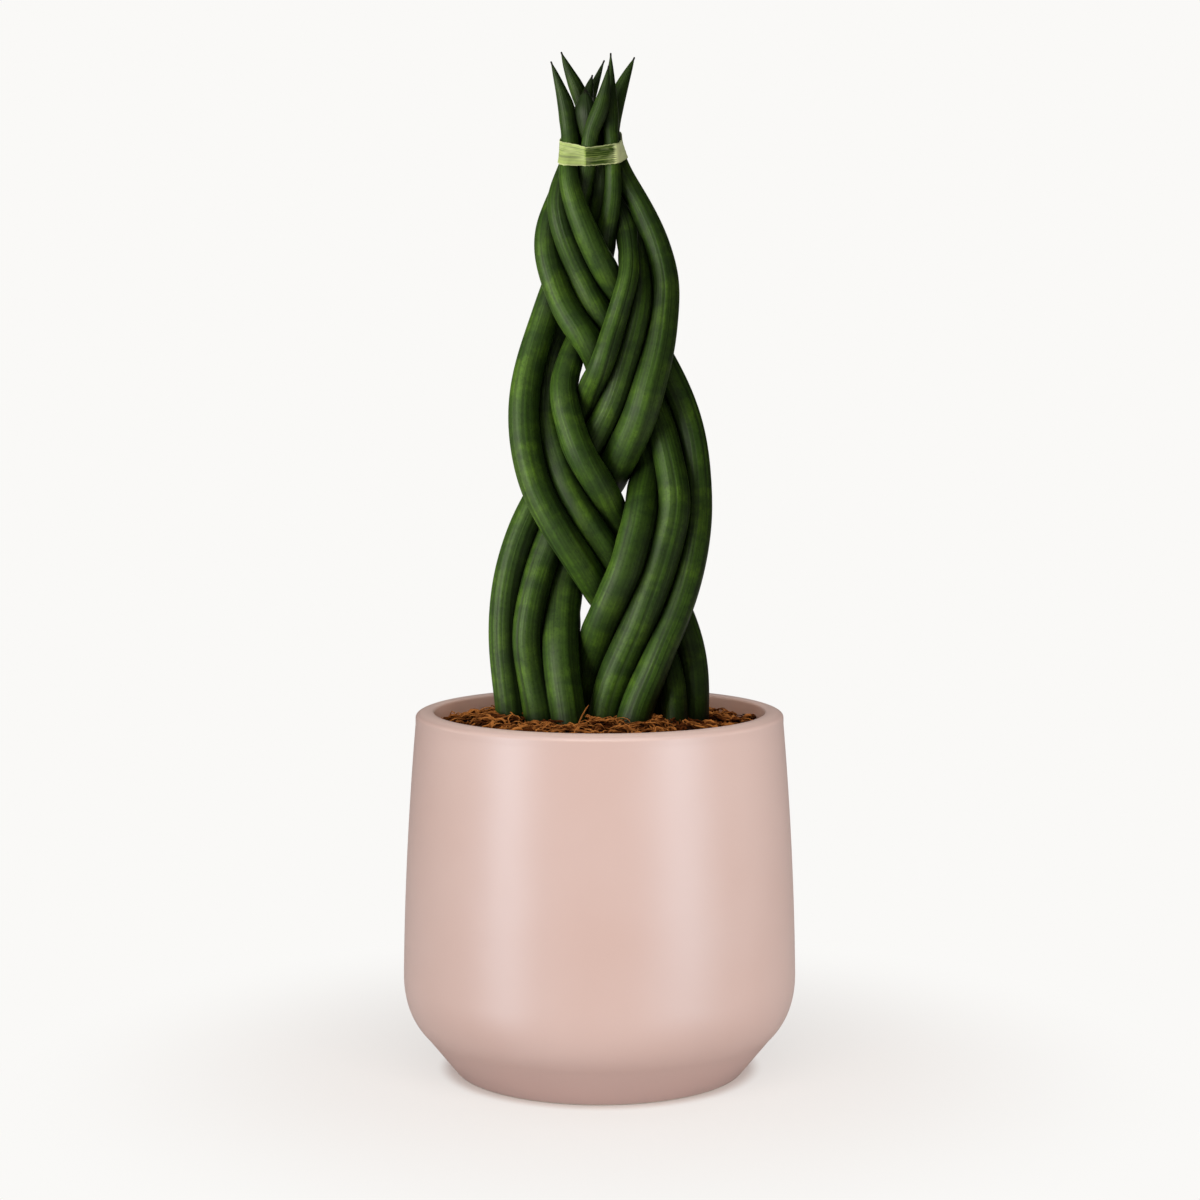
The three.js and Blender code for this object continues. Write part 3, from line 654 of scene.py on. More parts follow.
def leaf_course(name, settings):
    """Evened centre line, radius and length of a leaf, one row for each ring.

    The solid's rings are joined by straight lines, sampled at even steps and averaged. What the
    average took away is averaged too and added back, so that bends keep their reach. Closer rings
    at the tip give it a rounded point: the radius is at least the point's, times the root of one
    less the square of what is left of the way to the end.
    """
    centres, radii = solid_course(frame["nodes"][name])
    run = np.concatenate([[0], np.cumsum(np.linalg.norm(np.diff(centres, axis=0), axis=1))])
    places = np.linspace(0, run[-1], int(run[-1] / settings.step))
    rough = np.stack([np.interp(places, run, centres[:, k]) for k in range(3)], axis=1)
    spread = settings.evening / settings.step
    once = evened(rough, spread)
    path = once + evened(rough - once, spread)
    girth = np.interp(places, run, radii)
    girth[1:-1] = evened(girth[:, None], 2 * MM / settings.step)[1:-1, 0]
    girth *= 1 + settings.tip_swell * smooth_step(path[:, 2], *SWELL_RISE)

    middle_x, tip_x, tip_z = (v * MM for v in TIP_SHIFTS.get(name, (0, 0, 0)))
    middle = smooth_step(path[:, 2], *MIDDLE_RISE)
    tip = smooth_step(path[:, 2], *TIP_RISE)
    path[:, 0] += middle_x * middle * (1 - tip) + tip_x * tip
    path[:, 2] += tip_z * tip

    close = places[-1] - TIP_RINGS
    fine = np.concatenate([places[places < close[0] - settings.step / 2], close])
    path = np.stack([np.interp(fine, places, path[:, k]) for k in range(3)], axis=1)
    girth = np.interp(fine, places, girth)
    from_tip = fine[-1] - fine
    girth *= 1 + settings.tip_fullness * np.exp(-from_tip / settings.tip_reach)
    girth *= 1 + FULLER_TIPS.get(name, 0) * (1 - smooth_step(from_tip, *FULLER_FADE))
    round_end = 1 - np.clip(from_tip / settings.tip_point, 0, 1)
    girth = np.maximum(girth, settings.tip_point) * np.sqrt(1 - round_end**2)
    return path, girth, fine


# ---------------------------------------------------------------- pot and potting mix


def curve_points(start, bend, end, count):
    """Points on a quadratic curve from start towards end, drawn to the bend point."""
    t = np.linspace(0, 1, count, endpoint=False)[:, None]
    return (1 - t) ** 2 * np.array(start) + 2 * t * (1 - t) * np.array(bend) + t**2 * np.array(end)


def straight_points(start, end, count):
    """Evenly spaced points from start towards end."""
    t = np.linspace(0, 1, count, endpoint=False)[:, None]
    return (1 - t) * np.array(start) + t * np.array(end)


def pot_profile(pot):
    """Radius and height of the pot's section, from under its base round to the inside floor."""
    wall, floor, hole = 6.6 * MM, 9 * MM, 0.5 * MM
    inner_foot = pot.foot_radius - pot.foot_ring
    base_edge = inner_foot - pot.foot_recess
    wear, rise = 0.7 * MM, 0.86 * MM
    outer, neck = pot.lip_radius + pot.lip_roll, pot.lip_radius - pot.lip_roll
    top = pot.lip_height + pot.lip_roll
    under_lip, lip_edge = (outer, pot.lip_height - 1.5 * MM), (outer, top - 2.9 * MM)
    lip_brow, lip_inside = (outer - 1.4 * MM, top - 1.0 * MM), (neck + 1.0 * MM, top - 0.15 * MM)
    neck_top, neck_foot = (neck, top - 1.5 * MM), (neck, 138 * MM)
    belly = pot.belly_radius - wall
    hollow_top, hollow_foot, floor_edge = (belly, 110 * MM), (belly, 50 * MM), (63.4 * MM, floor)
    chamfer = (pot.chamfer_radius, pot.chamfer_height)
    widest = (pot.belly_radius, pot.belly_height)
    parts = [
        straight_points((hole, pot.foot_recess), (base_edge, pot.foot_recess), 12),
        curve_points((base_edge, pot.foot_recess), (inner_foot, pot.foot_recess), (inner_foot + wear, 0), 6),
        straight_points((inner_foot + wear, 0), (pot.foot_radius - wear, 0), 6),
        curve_points((pot.foot_radius - wear, 0), (pot.foot_radius, 0), (pot.foot_radius + wear, rise), 5),
        straight_points((pot.foot_radius + wear, rise), chamfer, 20),
        curve_points(chamfer, (pot.belly_radius, pot.shoulder_height), widest, 30),
        curve_points(widest, (pot.taper_radius, pot.taper_height), under_lip, 50),
        straight_points(under_lip, lip_edge, 4),
        curve_points(lip_edge, (outer, top - 1.7 * MM), lip_brow, 12),
        curve_points(lip_brow, (outer - 4.3 * MM, top + 0.3 * MM), lip_inside, 14),
        curve_points(lip_inside, (neck + 0.05 * MM, top - 0.3 * MM), neck_top, 12),
        straight_points(neck_top, neck_foot, 8),
        curve_points(neck_foot, hollow_top, hollow_foot, 16),
        curve_points(hollow_foot, (belly, 26 * MM), floor_edge, 16),
        straight_points(floor_edge, (hole, floor), 10),
    ]
    return np.concatenate(parts)


class SNAKEPLANT_OT_pot(Operator):
    """Turns the pot's section about its axis and glazes it"""

    bl_idname = "snakeplant.pot"
    bl_label = "Pot"

    def execute(self, context):
        pot = context.scene.pot_settings
        profile = pot_profile(pot)
        turn = whole_turn(pot.sides)
        radius, height = profile[:, :1], profile[:, 1:]
        ring = np.stack([radius * np.cos(turn), radius * np.sin(turn), height + 0 * turn], axis=-1)
        ends = np.array([[0, 0, profile[0, 1]], [0, 0, profile[-1, 1]]])
        points, faces = closed_tubes(ring[None], ends[:1], ends[1:])
        add_piece("glazed_pot", points, faces, satin_glaze(pot), "pot_glaze", "pot")
        return {"FINISHED"}


class SNAKEPLANT_OT_mix(Operator):
    """Gives the potting mix its crumbly look"""

    bl_idname = "snakeplant.mix"
    bl_label = "Potting Mix"

    def execute(self, context):
        materials = frame["nodes"]["potting_mix"].data.materials
        materials.clear()
        materials.append(potting_soil())
        return {"FINISHED"}


# ---------------------------------------------------------------- coir


def wave(distance, crest_mm):
    """A sine wave of the distance, with crests the given number of millimetres apart."""
    return np.sin(2 * np.pi * distance / (crest_mm * MM))


def coir_height(x, y, coir):
    """Height of the coir: a low dome with lumps and swells, banked up on the left.

    Lumps and swells are products of crossed waves 15 to 37 mm long, and the bank is a bell.
    """
    dome = coir.heap * (1 - (x**2 + y**2) / coir.radius**2)
    lumps = wave(x + 5 * MM * wave(y, 48), 15) * wave(y - 0.3 * x, 17)
    swells = wave(x, 37) * wave(y, 33)
    bank = 2.6 * MM * np.exp(-(((x + 45 * MM) / (13 * MM)) ** 2) - ((y - 8 * MM) / (17 * MM)) ** 2)
    return coir.edge_height + dome + 0.7 * MM * (lumps + swells) + bank


def coir_bed(coir):
    """The bed under the loose fibres: a disc with a rough top, a flat underside and closed sides."""
    sides, under_rows, top_rows = 240, 6, 90
    turn = whole_turn(sides)
    under = np.append(np.linspace(0.02, 0.97, under_rows), 1.0)
    share = np.concatenate([under, [1.0], np.linspace(0.99, 0.01, top_rows)])
    x = coir.radius * share[:, None] * np.cos(turn)
    y = coir.radius * share[:, None] * np.sin(turn)
    rough = np.sin(x / MM * 2.1 + 3 * np.sin(y / MM * 0.9)) * np.sin(y / MM * 1.7 + 2 * np.sin(x / MM * 0.7))
    z = coir_height(x, y, coir) - coir.depth * 0.75 + 0.4 * MM * rough
    z[: len(under)] = coir.underside
    rings = np.stack([x, y, z], axis=-1)
    ends = np.array([[0, 0, coir.underside], [0, 0, z[-1].mean()]])
    return closed_tubes(rings[None], ends[:1], ends[1:])


def fibre_tubes(paths, thickness, width, twist):
    """Fibres along paths, each a four-sided lozenge that thins towards both ends."""
    t = np.linspace(-1, 1, paths.shape[1])[None]
    taper = np.sqrt(np.clip(1 - t**4, 0.06, 1))
    turn = whole_turn(FIBRE_SIDES) + twist[..., None]
    nearly_up = np.array([0.02, 0.03, 1.0])
    flat = (thickness / 2 * taper)[..., None] * np.cos(turn)
    broad = (width / 2 * taper)[..., None] * np.sin(turn)
    tubes = rings_round(paths, nearly_up, flat, broad)
    return closed_tubes(tubes, paths[:, 0], paths[:, -1])


def strewn_fibres(coir, random, count, rings, lengths, widths, sway):
    """Fibres that lie in clumps over the bed.

    Each clump has its own place, heading and height. A fibre runs along an arc with two
    waves across it and two up and down, and the middle of its clump stands a little higher.
    """
    clumps = count // CLUMP_SIZE

    def draw(low, high, size=count):
        return random.uniform(low, high, (size, 1))

    member = np.repeat(np.arange(clumps), CLUMP_SIZE)
    ring = (coir.radius * np.sqrt(draw(0, 1, clumps)))[member]
    bearing = draw(0, 2 * np.pi, clumps)[member]
    heading = random.normal(0.1, 0.8, (clumps, 1))[member] + random.normal(0, 0.35, (count, 1))
    heave = draw(-1, 1, clumps)[member]
    size = draw(*lengths) * MM
    aside = random.normal(0, 1.6, (count, 1)) * MM
    onward = random.normal(0, 3.0, (count, 1)) * MM
    t = np.linspace(-0.5, 0.5, rings)[None]
    bend = draw(-1, 1) * 22 * sway * t**2 * size
    weave = size * sway * np.sin(2 * np.pi * (draw(0.8, 2.4) * t + draw(0, 1)))
    along, across = size * t + onward, aside + bend + weave
    x = ring * np.cos(bearing) + along * np.cos(heading) - across * np.sin(heading)
    y = ring * np.sin(bearing) + along * np.sin(heading) + across * np.cos(heading)
    inwards = np.minimum(1, (coir.radius - 0.4 * MM) / np.hypot(x, y))
    x, y = x * inwards, y * inwards
    crest = np.exp(-((across / (3 * MM)) ** 2))
    ripple = 0.05 * size * np.sin(2 * np.pi * (draw(0.7, 2.0) * t + draw(0, 1)))
    arch = draw(-0.1, 0.16) * size * (1 - 4 * t**2)
    bed = coir_height(x, y, coir)
    z = bed + coir.depth * (0.35 * heave + 0.3 * crest - 0.45) + ripple + arch + draw(-0.7, 0.7) * MM
    paths = np.stack([x, y, np.maximum(z, coir.underside + 1 * MM)], axis=-1)
    width = draw(*widths) * MM
    points, faces = fibre_tubes(paths, width * draw(0.45, 0.9), width, draw(-0.6, 0.6))
    lift = (z - bed) / coir.depth
    # Painted shade: fibres lying lower in the pile are darker, the highest lighter.
    shade = np.clip(random.normal(0.36, 0.26, (count, 1)) + 1.15 * (lift + 0.12), 0, 1.1)
    return points, faces, spread_to_tubes(shade, rings, FIBRE_SIDES)


def standing_fibres(coir, random):
    """A few fibres that stand up round the leaves: arcs that lean and curl over at the top.

    Three have their own place, length and heading, in millimetres and degrees.
    """
    placed = np.array([(-10.2, -27.0, 13.0, 20.0), (-33.6, 1.0, 7.0, 150.0), (9.0, -26.0, 6.0, 200.0)])
    count, rings = coir.standing, 9
    ring, bearing = random.uniform(12, 60, count), random.uniform(0, 2 * np.pi, count)
    size, heading = random.uniform(3, 6, count), random.uniform(0, 360, count)
    strewn = np.stack([ring * np.cos(bearing), ring * np.sin(bearing), size, heading], 1)
    x, y, size, heading = np.concatenate([placed, strewn]).T[..., None]
    t = np.linspace(0, 1, rings)[None]
    heading = np.radians(heading)
    reach = size * MM * (0.3 * t + 0.16 * t**2)
    foot = coir_height(x * MM, y * MM, coir) - 2 * MM
    rise = size * MM * (1.05 * t - 0.12 * t**2)
    across, back = x * MM + reach * np.cos(heading), y * MM + reach * np.sin(heading)
    paths = np.stack([across, back, foot + rise], axis=-1)
    width = random.uniform(0.4, 0.7, x.shape) * MM
    points, faces = fibre_tubes(paths, width, width, 0 * x)
    return points, faces, spread_to_tubes(0.85 + 0 * t + 0 * x, rings, FIBRE_SIDES)


class SNAKEPLANT_OT_coir(Operator):
    """Lays the coir bed and strews shreds and strands of coconut fibre over it"""

    bl_idname = "snakeplant.coir"
    bl_label = "Coir Mulch"

    def execute(self, context):
        coir = context.scene.coir_settings
        random = np.random.default_rng(coir.seed)
        material = coir_fibre(coir)
        points, faces = coir_bed(coir)
        pieces = {
            # The bed is painted near the darkest fibre colour, as painted shade in the gaps between fibres.
            "coir_bed": (points, faces, np.full(len(points), 0.05)),
            "coir_shreds": strewn_fibres(
                coir, random, coir.shreds, rings=6, lengths=(4, 10), widths=(0.9, 2.0), sway=0.022
            ),
            "coir_strands": strewn_fibres(
                coir, random, coir.strands, rings=7, lengths=(5, 13), widths=(0.4, 0.9), sway=0.03
            ),
            "coir_standing": standing_fibres(coir, random),
        }
        for name, (points, faces, shade) in pieces.items():
            piece = add_piece(name, points, faces, material, "coir", "coir_mulch")
            add_values(piece, "shade", shade)
        return {"FINISHED"}


# ---------------------------------------------------------------- leaves


def leaf_rings(path, radius, turn):
    """Rings of a leaf: circles of the given radius square to its course."""
    return rings_round(path, np.array([1.0, 0, 0]), radius * np.cos(turn), radius * np.sin(turn))


def pressed_swell(own, others, turn, settings):
    """How much a leaf swells towards its neighbours, for each ring and side.

    For each ring, a neighbour's nearest ring gives the gap and its bearing. The leaf swells by half
    the gap and a little more, as a bell curve round that bearing, and not at all where the gap is wide.
    """
    full_share, evening, bell_width = 0.6, 3 * MM, 0.7
    path, girth, _ = own
    right, back = frames_along(path, np.array([1.0, 0, 0]))
    swell = np.zeros((len(path), turn.shape[1]))
    for other, other_girth, _ in others:
        apart = other[None] - path[:, None]
        distance = np.linalg.norm(apart, axis=2)
        nearest = (distance - other_girth).argmin(axis=1)
        ring = np.arange(len(path))
        towards = apart[ring, nearest]
        gap = distance[ring, nearest] - girth * settings.fullness - other_girth[nearest] * settings.fullness
        bearing = np.arctan2((towards * back).sum(axis=1), (towards * right).sum(axis=1))
        near = 1 - smooth_step(gap, settings.press_reach * full_share, settings.press_reach)
        meet = near * np.maximum(gap / 2 + settings.press_overlap, 0)
        meet = evened(meet[:, None], evening / settings.step)
        swell = np.maximum(swell, meet * bell(turn, bearing[:, None], bell_width))
    return swell


def painted_contact_shade(points, others, settings):
    """Painted shade for each point of a leaf, by how closely it lies to the other leaves, or less so to the
    coir.

    It is 1 where leaves touch, and falls off exponentially with the distance. Every third ring
    of the others is enough to tell.
    """
    nearest = np.full(len(points), np.inf)
    for path, girth, _ in others:
        path, girth = path[::3], girth[::3]
        for part in np.array_split(np.arange(len(points)), 12):
            apart = np.linalg.norm(points[part, None] - path[None], axis=2) - girth * settings.fullness
            nearest[part] = np.minimum(nearest[part], apart.min(axis=1))
    # Painted shade also darkens the leaves for a few millimetres above the coir.
    coir_shade_share, coir_shade_reach = 0.8, 5.5 * MM
    over_coir = np.maximum(points[:, 2] - COIR_TOP, 0)
    among_leaves = np.exp(-np.maximum(nearest, 0) / settings.contact_shade_reach)
    return np.maximum(among_leaves, coir_shade_share * np.exp(-over_coir / coir_shade_reach))


def leaf_surface(courses, number, settings, random):
    """One leaf's points and faces, and its pattern coordinates, distance from the tip and grooves.

    Its radius is the course's radius, times cosines of 7, 11, 17 and 24 times the angle for low
    ribs that wander along the leaf, less a few narrow grooves and one wider channel, each a bell
    curve of the angle.
    """
    path, girth, places = courses[number]
    rings, sides = len(path), settings.sides
    turn = whole_turn(sides)[None]
    run = places[:, None] / MM
    skin_turn = turn + random.uniform(0, 2 * np.pi) + random.uniform(-0.6, 0.6) * run / run.max()
    ribs = sum(
        weight * np.cos(count * skin_turn + random.uniform(0, 6) + 0.5 * np.sin(run / random.uniform(20, 45)))
        for count, weight in ((7, 0.5), (11, 0.4), (17, 0.35), (24, 0.2))
    )
    channel = bell(skin_turn, random.uniform(0, 2 * np.pi), 0.16)
    grooves = sum(
        bell(skin_turn + 0.05 * np.sin(run / random.uniform(25, 50)), random.uniform(0, 2 * np.pi), 0.055)
        * smooth_step(np.sin(run / random.uniform(25, 60) + random.uniform(0, 6)), -0.6, 0.2)
        for _ in range(settings.grooves)
    )
    swell = 1 + 0.01 * np.sin(run / random.uniform(11, 17) + random.uniform(0, 6))
    relief = settings.rib_depth * ribs - settings.channel_depth * channel - settings.groove_depth * grooves
    radius = girth[:, None] * settings.fullness * swell * (1 + relief)
    others = courses[:number] + courses[number + 1 :]
    radius = radius + pressed_swell(courses[number], others, turn, settings)
    points, faces = closed_tubes(leaf_rings(path, radius, turn)[None], path[:1], path[-1:])
    nominal, apart = 6.0, 400 * number
    straight = np.stack(
        [nominal * np.cos(skin_turn), nominal * np.sin(skin_turn), run + apart + 0 * turn], axis=-1
    )
    ends = np.array([[0, 0, run[0, 0] + apart], [0, 0, run[-1, 0] + apart]])
    straight = np.concatenate([straight.reshape(-1, 3), ends])
    from_tip = spread_to_tubes((run[-1] - run).reshape(1, -1), rings, sides)
    sunk = np.concatenate([np.clip(grooves + channel, 0, 1).ravel(), [0, 0]])
    # Painted shade where the leaf lies close to other leaves or just above the coir.
    contact_shade = painted_contact_shade(points, others, settings)
    return points, faces, {"straight_mm": straight, "from_tip_mm": from_tip, "sunk": sunk, "contact_shade": contact_shade}


class SNAKEPLANT_OT_leaves(Operator):
    """Grows the nine ribbed leaves along their solids"""

    bl_idname = "snakeplant.leaves"
    bl_label = "Leaves"

    def execute(self, context):
        settings = context.scene.leaf_settings
        random = np.random.default_rng(settings.seed)
        material = waxy_leaf(settings)
        courses = [leaf_course(name, settings) for name in LEAF_NODES]
        for number, name in enumerate(LEAF_NODES):
            points, faces, values = leaf_surface(courses, number, settings, random)
            leaf = add_piece("skin_of_" + name, points, faces, material, "leaf", name)
            for attribute, numbers in values.items():
                add_values(leaf, attribute, numbers)
        return {"FINISHED"}


# ---------------------------------------------------------------- tie


def bundle_reaches(grids, tie, level, bearings):
    """How far the leaves reach in each direction at a level that rises towards the back.

    Each lengthwise line of a leaf's rings is cut where it first passes the level, and the reach
    is the largest distance of the cuts along the direction.
    """
    normals = np.stack([np.cos(bearings), np.sin(bearings)], axis=1)
    reaches = []
    for grid in grids:
        rise = grid[..., 2] - tie.tilt * grid[..., 1] - level
        above = (rise > 0).argmax(axis=0)
        side = np.arange(grid.shape[1])
        low, high = rise[above - 1, side], rise[above, side]
        share = (low / (low - high))[:, None]
        cut = grid[above - 1, side] * (1 - share) + grid[above, side] * share
        reaches.append((normals @ cut[:, :2].T).max(axis=1))
    return np.max(reaches, axis=0)


def taut_radius(reaches, bearings, centre, turn):
    """Distance from a centre to a taut loop: the nearest of its support lines along each turn."""
    normals = np.stack([np.cos(bearings), np.sin(bearings)], axis=1)
    rays = np.stack([np.cos(turn), np.sin(turn)], axis=1)
    facing, least = rays @ normals.T, 0.05
    ahead = reaches - normals @ centre
    return np.where(facing > least, ahead / np.maximum(facing, least), np.inf).min(axis=1)


def tie_grids(settings):
    """Plain rings of every leaf, for the strip to rest on."""
    turn = whole_turn(36)[None]
    courses = [leaf_course(name, settings) for name in LEAF_NODES]
    return [leaf_rings(path, girth[:, None] * settings.fullness, turn) for path, girth, _ in courses]


def resting_radius(grids, tie, turn, share):
    """Distance from the tie's centre to its inner face, for each turn and share of the width.

    The face runs straight from the taut loop at its lower edge to the one at its upper edge, and
    moves out by as much as a loop between them bulges.
    """
    bearings = whole_turn(360)
    centre = np.array([tie.centre_x, tie.centre_y])
    levels = np.linspace(-1, 1, 5)
    loops = []
    for level in levels:
        reaches = bundle_reaches(grids, tie, tie.height + level * tie.width / 2, bearings)
        loops.append(taut_radius(reaches, bearings, centre, turn))
    radii = np.stack(loops, axis=1)
    lower, widening = radii[:, :1], radii[:, -1:] - radii[:, :1]
    bulge = (radii - (lower + widening * (levels + 1) / 2)).max(axis=1)[:, None]
    return lower + widening * (share + 1) / 2 + bulge + tie.clearance


def tie_surface(grids, tie):
    """The strip's points and faces, and its pattern coordinates in millimetres.

    It turns once round the bundle and laps over its own start behind. A crease stands out where
    it is folded in front, sines give it grain, a wandering course and frayed edges, it tapers at
    its end, and a bell curve takes the side dip off its upper edge.
    """
    stations, columns = 720, 17
    turn = np.linspace(np.pi / 2 - tie.lap, np.pi / 2 + tie.lap + 2 * np.pi, stations)[:, None]
    share = np.linspace(-1, 1, columns)[None]
    lap_start = turn[-1] - 2 * tie.lap
    over = smooth_step(turn, lap_start - 1.0, lap_start - 0.1)
    fold = np.abs(turn - tie.fold_bearing)
    crease = 0.8 * MM * np.exp(-fold / 0.15)
    grain = 0.05 * MM * np.sin(11 * share + 1.5 * np.sin(3 * turn)) * (1 - share**2)
    resting = resting_radius(grids, tie, turn[:, 0], share)
    radius = resting + crease + grain + over * (tie.thickness + 0.08 * MM)
    edge_curl = 0.1 * MM * share**8
    taper = 1 - 0.5 * smooth_step(turn, turn[-1] - 0.14, turn[-1])
    wander = 0.14 * MM * np.sin(5 * turn)
    fray = 0.08 * MM * np.sin(37 * turn + 2 * np.sin(11 * turn)) * share
    dip = tie.side_dip * bell(turn, 0.1, 0.5) * (share + 1) / 2
    upright = tie.height + wander + fray + share * taper * tie.width / 2 - dip
    skins = []
    for offset in (tie.thickness + edge_curl, edge_curl):
        x = tie.centre_x + (radius + offset) * np.cos(turn)
        y = tie.centre_y + (radius + offset) * np.sin(turn)
        skins.append(np.stack([x, y, upright + tie.tilt * y], axis=-1))
    outer, inner = skins
    rings = np.concatenate([outer, inner[:, ::-1]], axis=1)
    points, faces = closed_tubes(rings[None], rings[:1].mean(axis=1), rings[-1:].mean(axis=1))

    steps = np.linalg.norm(np.diff(outer[:, columns // 2], axis=0), axis=1)
    run = np.concatenate([[0], np.cumsum(steps)])[:, None]
    run = run - run[fold.argmin()]
    across = np.concatenate([share, share[:, ::-1]], axis=1) * tie.width / 2
    pattern = np.stack(np.broadcast_arrays(run, across, 0.0), axis=-1)
    ends = np.array([[run[0, 0], 0, 0], [run[-1, 0], 0, 0]])
    return points, faces, np.concatenate([pattern.reshape(-1, 3), ends]) / MM


class SNAKEPLANT_OT_tie(Operator):
    """Draws the dried strip taut round the leaves, folds it in front and laps it behind"""

    bl_idname = "snakeplant.tie"
    bl_label = "Tie"

    def execute(self, context):
        tie = context.scene.tie_settings
        points, faces, pattern = tie_surface(tie_grids(context.scene.leaf_settings), tie)
        strip = add_piece("tie_strip", points, faces, dried_strip(tie), "dried_leaf", "tie_band")
        add_values(strip, "strip_mm", pattern)
        return {"FINISHED"}


# ---------------------------------------------------------------- stage


def pale_floor(stage):
    """Seamless paper under soft light.

    The paper takes the object's shadow. To the camera it glows a little, and it is painted
    brighter with the distance from the pot's axis, as a painted shadow round the foot: fast beside
    the foot and slowly further out, where it ends in the backdrop's colour.
    """
    material, tree = new_material("seamless paper")
    glow_strength, paper_depth = 0.27, 0.6
    # Distances between which the paper is painted brighter, fading the painted shadow round the foot, and the
    # share by which it does.
    steps = ((63 * MM, 71.5 * MM, 0.6), (80 * MM, 260 * MM, 0.4))
    place = add_node(tree, "TexCoord", out="Object")
    distance = add_node(tree, "VectorMath", {0: place}, out="Value", operation="LENGTH")
    rises = [
        add_node(tree, "MapRange", {0: distance, 1: start, 2: end, 4: share}, interpolation_type="SMOOTHSTEP")
        for start, end, share in steps
    ]
    lit = add_node(tree, "Math", dict(enumerate(rises)), operation="ADD")
    seen = add_node(tree, "LightPath", out="Is Camera Ray")
    glow_level = add_node(tree, "Math", {0: seen, 1: glow_strength}, operation="MULTIPLY")
    glow = add_node(tree, "Emission", {"Color": stage.floor, "Strength": glow_level})
    paper = add_node(tree, "BsdfDiffuse", {"Color": [paper_depth * v for v in stage.floor]})
    near = add_node(tree, "AddShader", {0: glow, 1: paper})
    backdrop = add_node(tree, "Emission", {"Color": stage.backdrop})
    # Painted shadow: near the foot the camera sees the paper, further out the even backdrop.
    brightened = add_node(tree, "Math", {0: lit, 1: seen}, operation="MULTIPLY")
    mixed = add_node(tree, "MixShader", {0: brightened, 1: near, 2: backdrop})
    add_node(tree, "OutputMaterial", {0: mixed})
    return material


def add_floor(stage):
    """A wide round floor that isn't part of the object."""
    mesh = bpy.data.meshes.new("floor")
    turn = whole_turn(96)
    rim = stage.floor_radius * np.stack([np.cos(turn), np.sin(turn), 0 * turn], axis=1)
    mesh.from_pydata(rim.tolist(), [], [list(range(len(rim)))])
    mesh.materials.append(pale_floor(stage))
    floor = bpy.data.objects.new("floor", mesh)
    bpy.context.scene.collection.objects.link(floor)


def add_sky(stage):
    """A faint light from all round, which the camera sees as the backdrop's colour."""
    world = bpy.data.worlds.new("studio")
    bpy.context.scene.world = world
    world.use_nodes = True
    tree = world.node_tree
    tree.nodes.clear()
    backdrop = add_node(tree, "Background", {"Color": stage.backdrop})
    sky = add_node(tree, "Background", {"Color": (1.0, 0.985, 0.97), "Strength": stage.sky})
    seen = add_node(tree, "LightPath", out="Is Camera Ray")
    mixed = add_node(tree, "MixShader", {0: seen, 1: sky, 2: backdrop})
    add_node(tree, "OutputWorld", {0: mixed})


def light_groups():
    """Groups of pieces for the lights: what each kind of light falls on, and what casts shadows."""
    names = ("pot group", "pot and tie", "plant group", "standing")
    groups = {name: bpy.data.collections.new(name) for name in names}
    for piece in bpy.context.scene.objects:
        if piece.type == "MESH":
            on_pot = piece.name.startswith(("glazed_pot", "coir_", "floor"))
            joined = ["pot group" if on_pot else "plant group"]
            if on_pot or piece.name == "tie_strip":
                joined.append("pot and tie")
            if piece.name != "floor":
                joined.append("standing")
            for name in joined:
                groups[name].objects.link(piece)
    return groups


def add_softbox(name, place, aim, size, power, tint, receivers, blockers):
    """A rectangular softbox at a place, aimed at a point, with a tint.

    It lights one group of pieces, and only the blockers cast shadows in its light, so that a
    box beside the table can reach below the level of its top.
    """
    light = bpy.data.lights.new(name, "AREA")
    light.shape = "RECTANGLE"
    light.size, light.size_y = size
    light.energy = power
    light.color = tint
    box = bpy.data.objects.new(name, light)
    box.location = place
    box.visible_camera = False
    box.light_linking.receiver_collection = receivers
    box.light_linking.blocker_collection = blockers
    box.rotation_euler = (Vector(aim) - Vector(place)).to_track_quat("-Z", "Y").to_euler()
    bpy.context.scene.collection.objects.link(box)


def round_the_front(turn, height):
    """A place at the lights' distance, at a turn in degrees to the right of the front."""
    turn = np.radians(turn)
    return (LIGHT_DISTANCE * np.sin(turn), -LIGHT_DISTANCE * np.cos(turn), height)


def add_lights(stage):
    """The softboxes: name, place, aim, size, power, tint, and the group that each lights."""
    groups = light_groups()
    cool, neutral, warm = COOL_LIGHT, NEUTRAL_LIGHT, WARM_LIGHT
    left, right, window = round_the_front(-54, 0.125), round_the_front(48, 0.045), round_the_front(-55, 0.35)
    side, front, above, behind = LIGHT_DISTANCE, (0, -1.2, 1.5), (0, 0.1, 1.6), (0, 1.5, 0.5)
    softboxes = (
        ("left strip", left, (0, 0, 0.125), (0.46, 1.15), stage.left_power, cool, "pot group"),
        ("right strip", right, (0, 0, 0.045), (0.66, 0.95), stage.right_power, cool, "pot group"),
        ("front softbox", front, (0, 0, 0.2), (2.0, 0.8), stage.front_power, neutral, "pot group"),
        ("top softbox", above, (0, 0, 0), (2.4, 1.0), stage.top_power, cool, "pot group"),
        ("left side", (-side, 0.1, 0.5), (0, 0, 0.1), (1.0, 0.9), stage.side_power, neutral, "pot group"),
        ("right side", (side, 0.1, 0.5), (0, 0, 0.1), (1.0, 0.9), stage.side_power, neutral, "pot and tie"),
        ("left window", window, (0, 0, 0.25), (1.0, 0.9), stage.window_power, warm, "plant group"),
        ("front fill", (-0.25, -1.2, 1.5), (0, 0, 0.2), (0.8, 0.8), stage.fill_power, warm, "plant group"),
        ("top fill", (-0.2, 0.1, 1.6), (0, 0, 0), (0.9, 0.9), stage.fill_power, warm, "plant group"),
        ("backdrop panel", behind, (0, 0, 0.25), (1.6, 1.0), stage.back_power, neutral, "plant group"),
    )
    for name, place, aim, size, power, tint, group in softboxes:
        add_softbox(name, place, aim, size, power, tint, groups[group], groups["standing"])


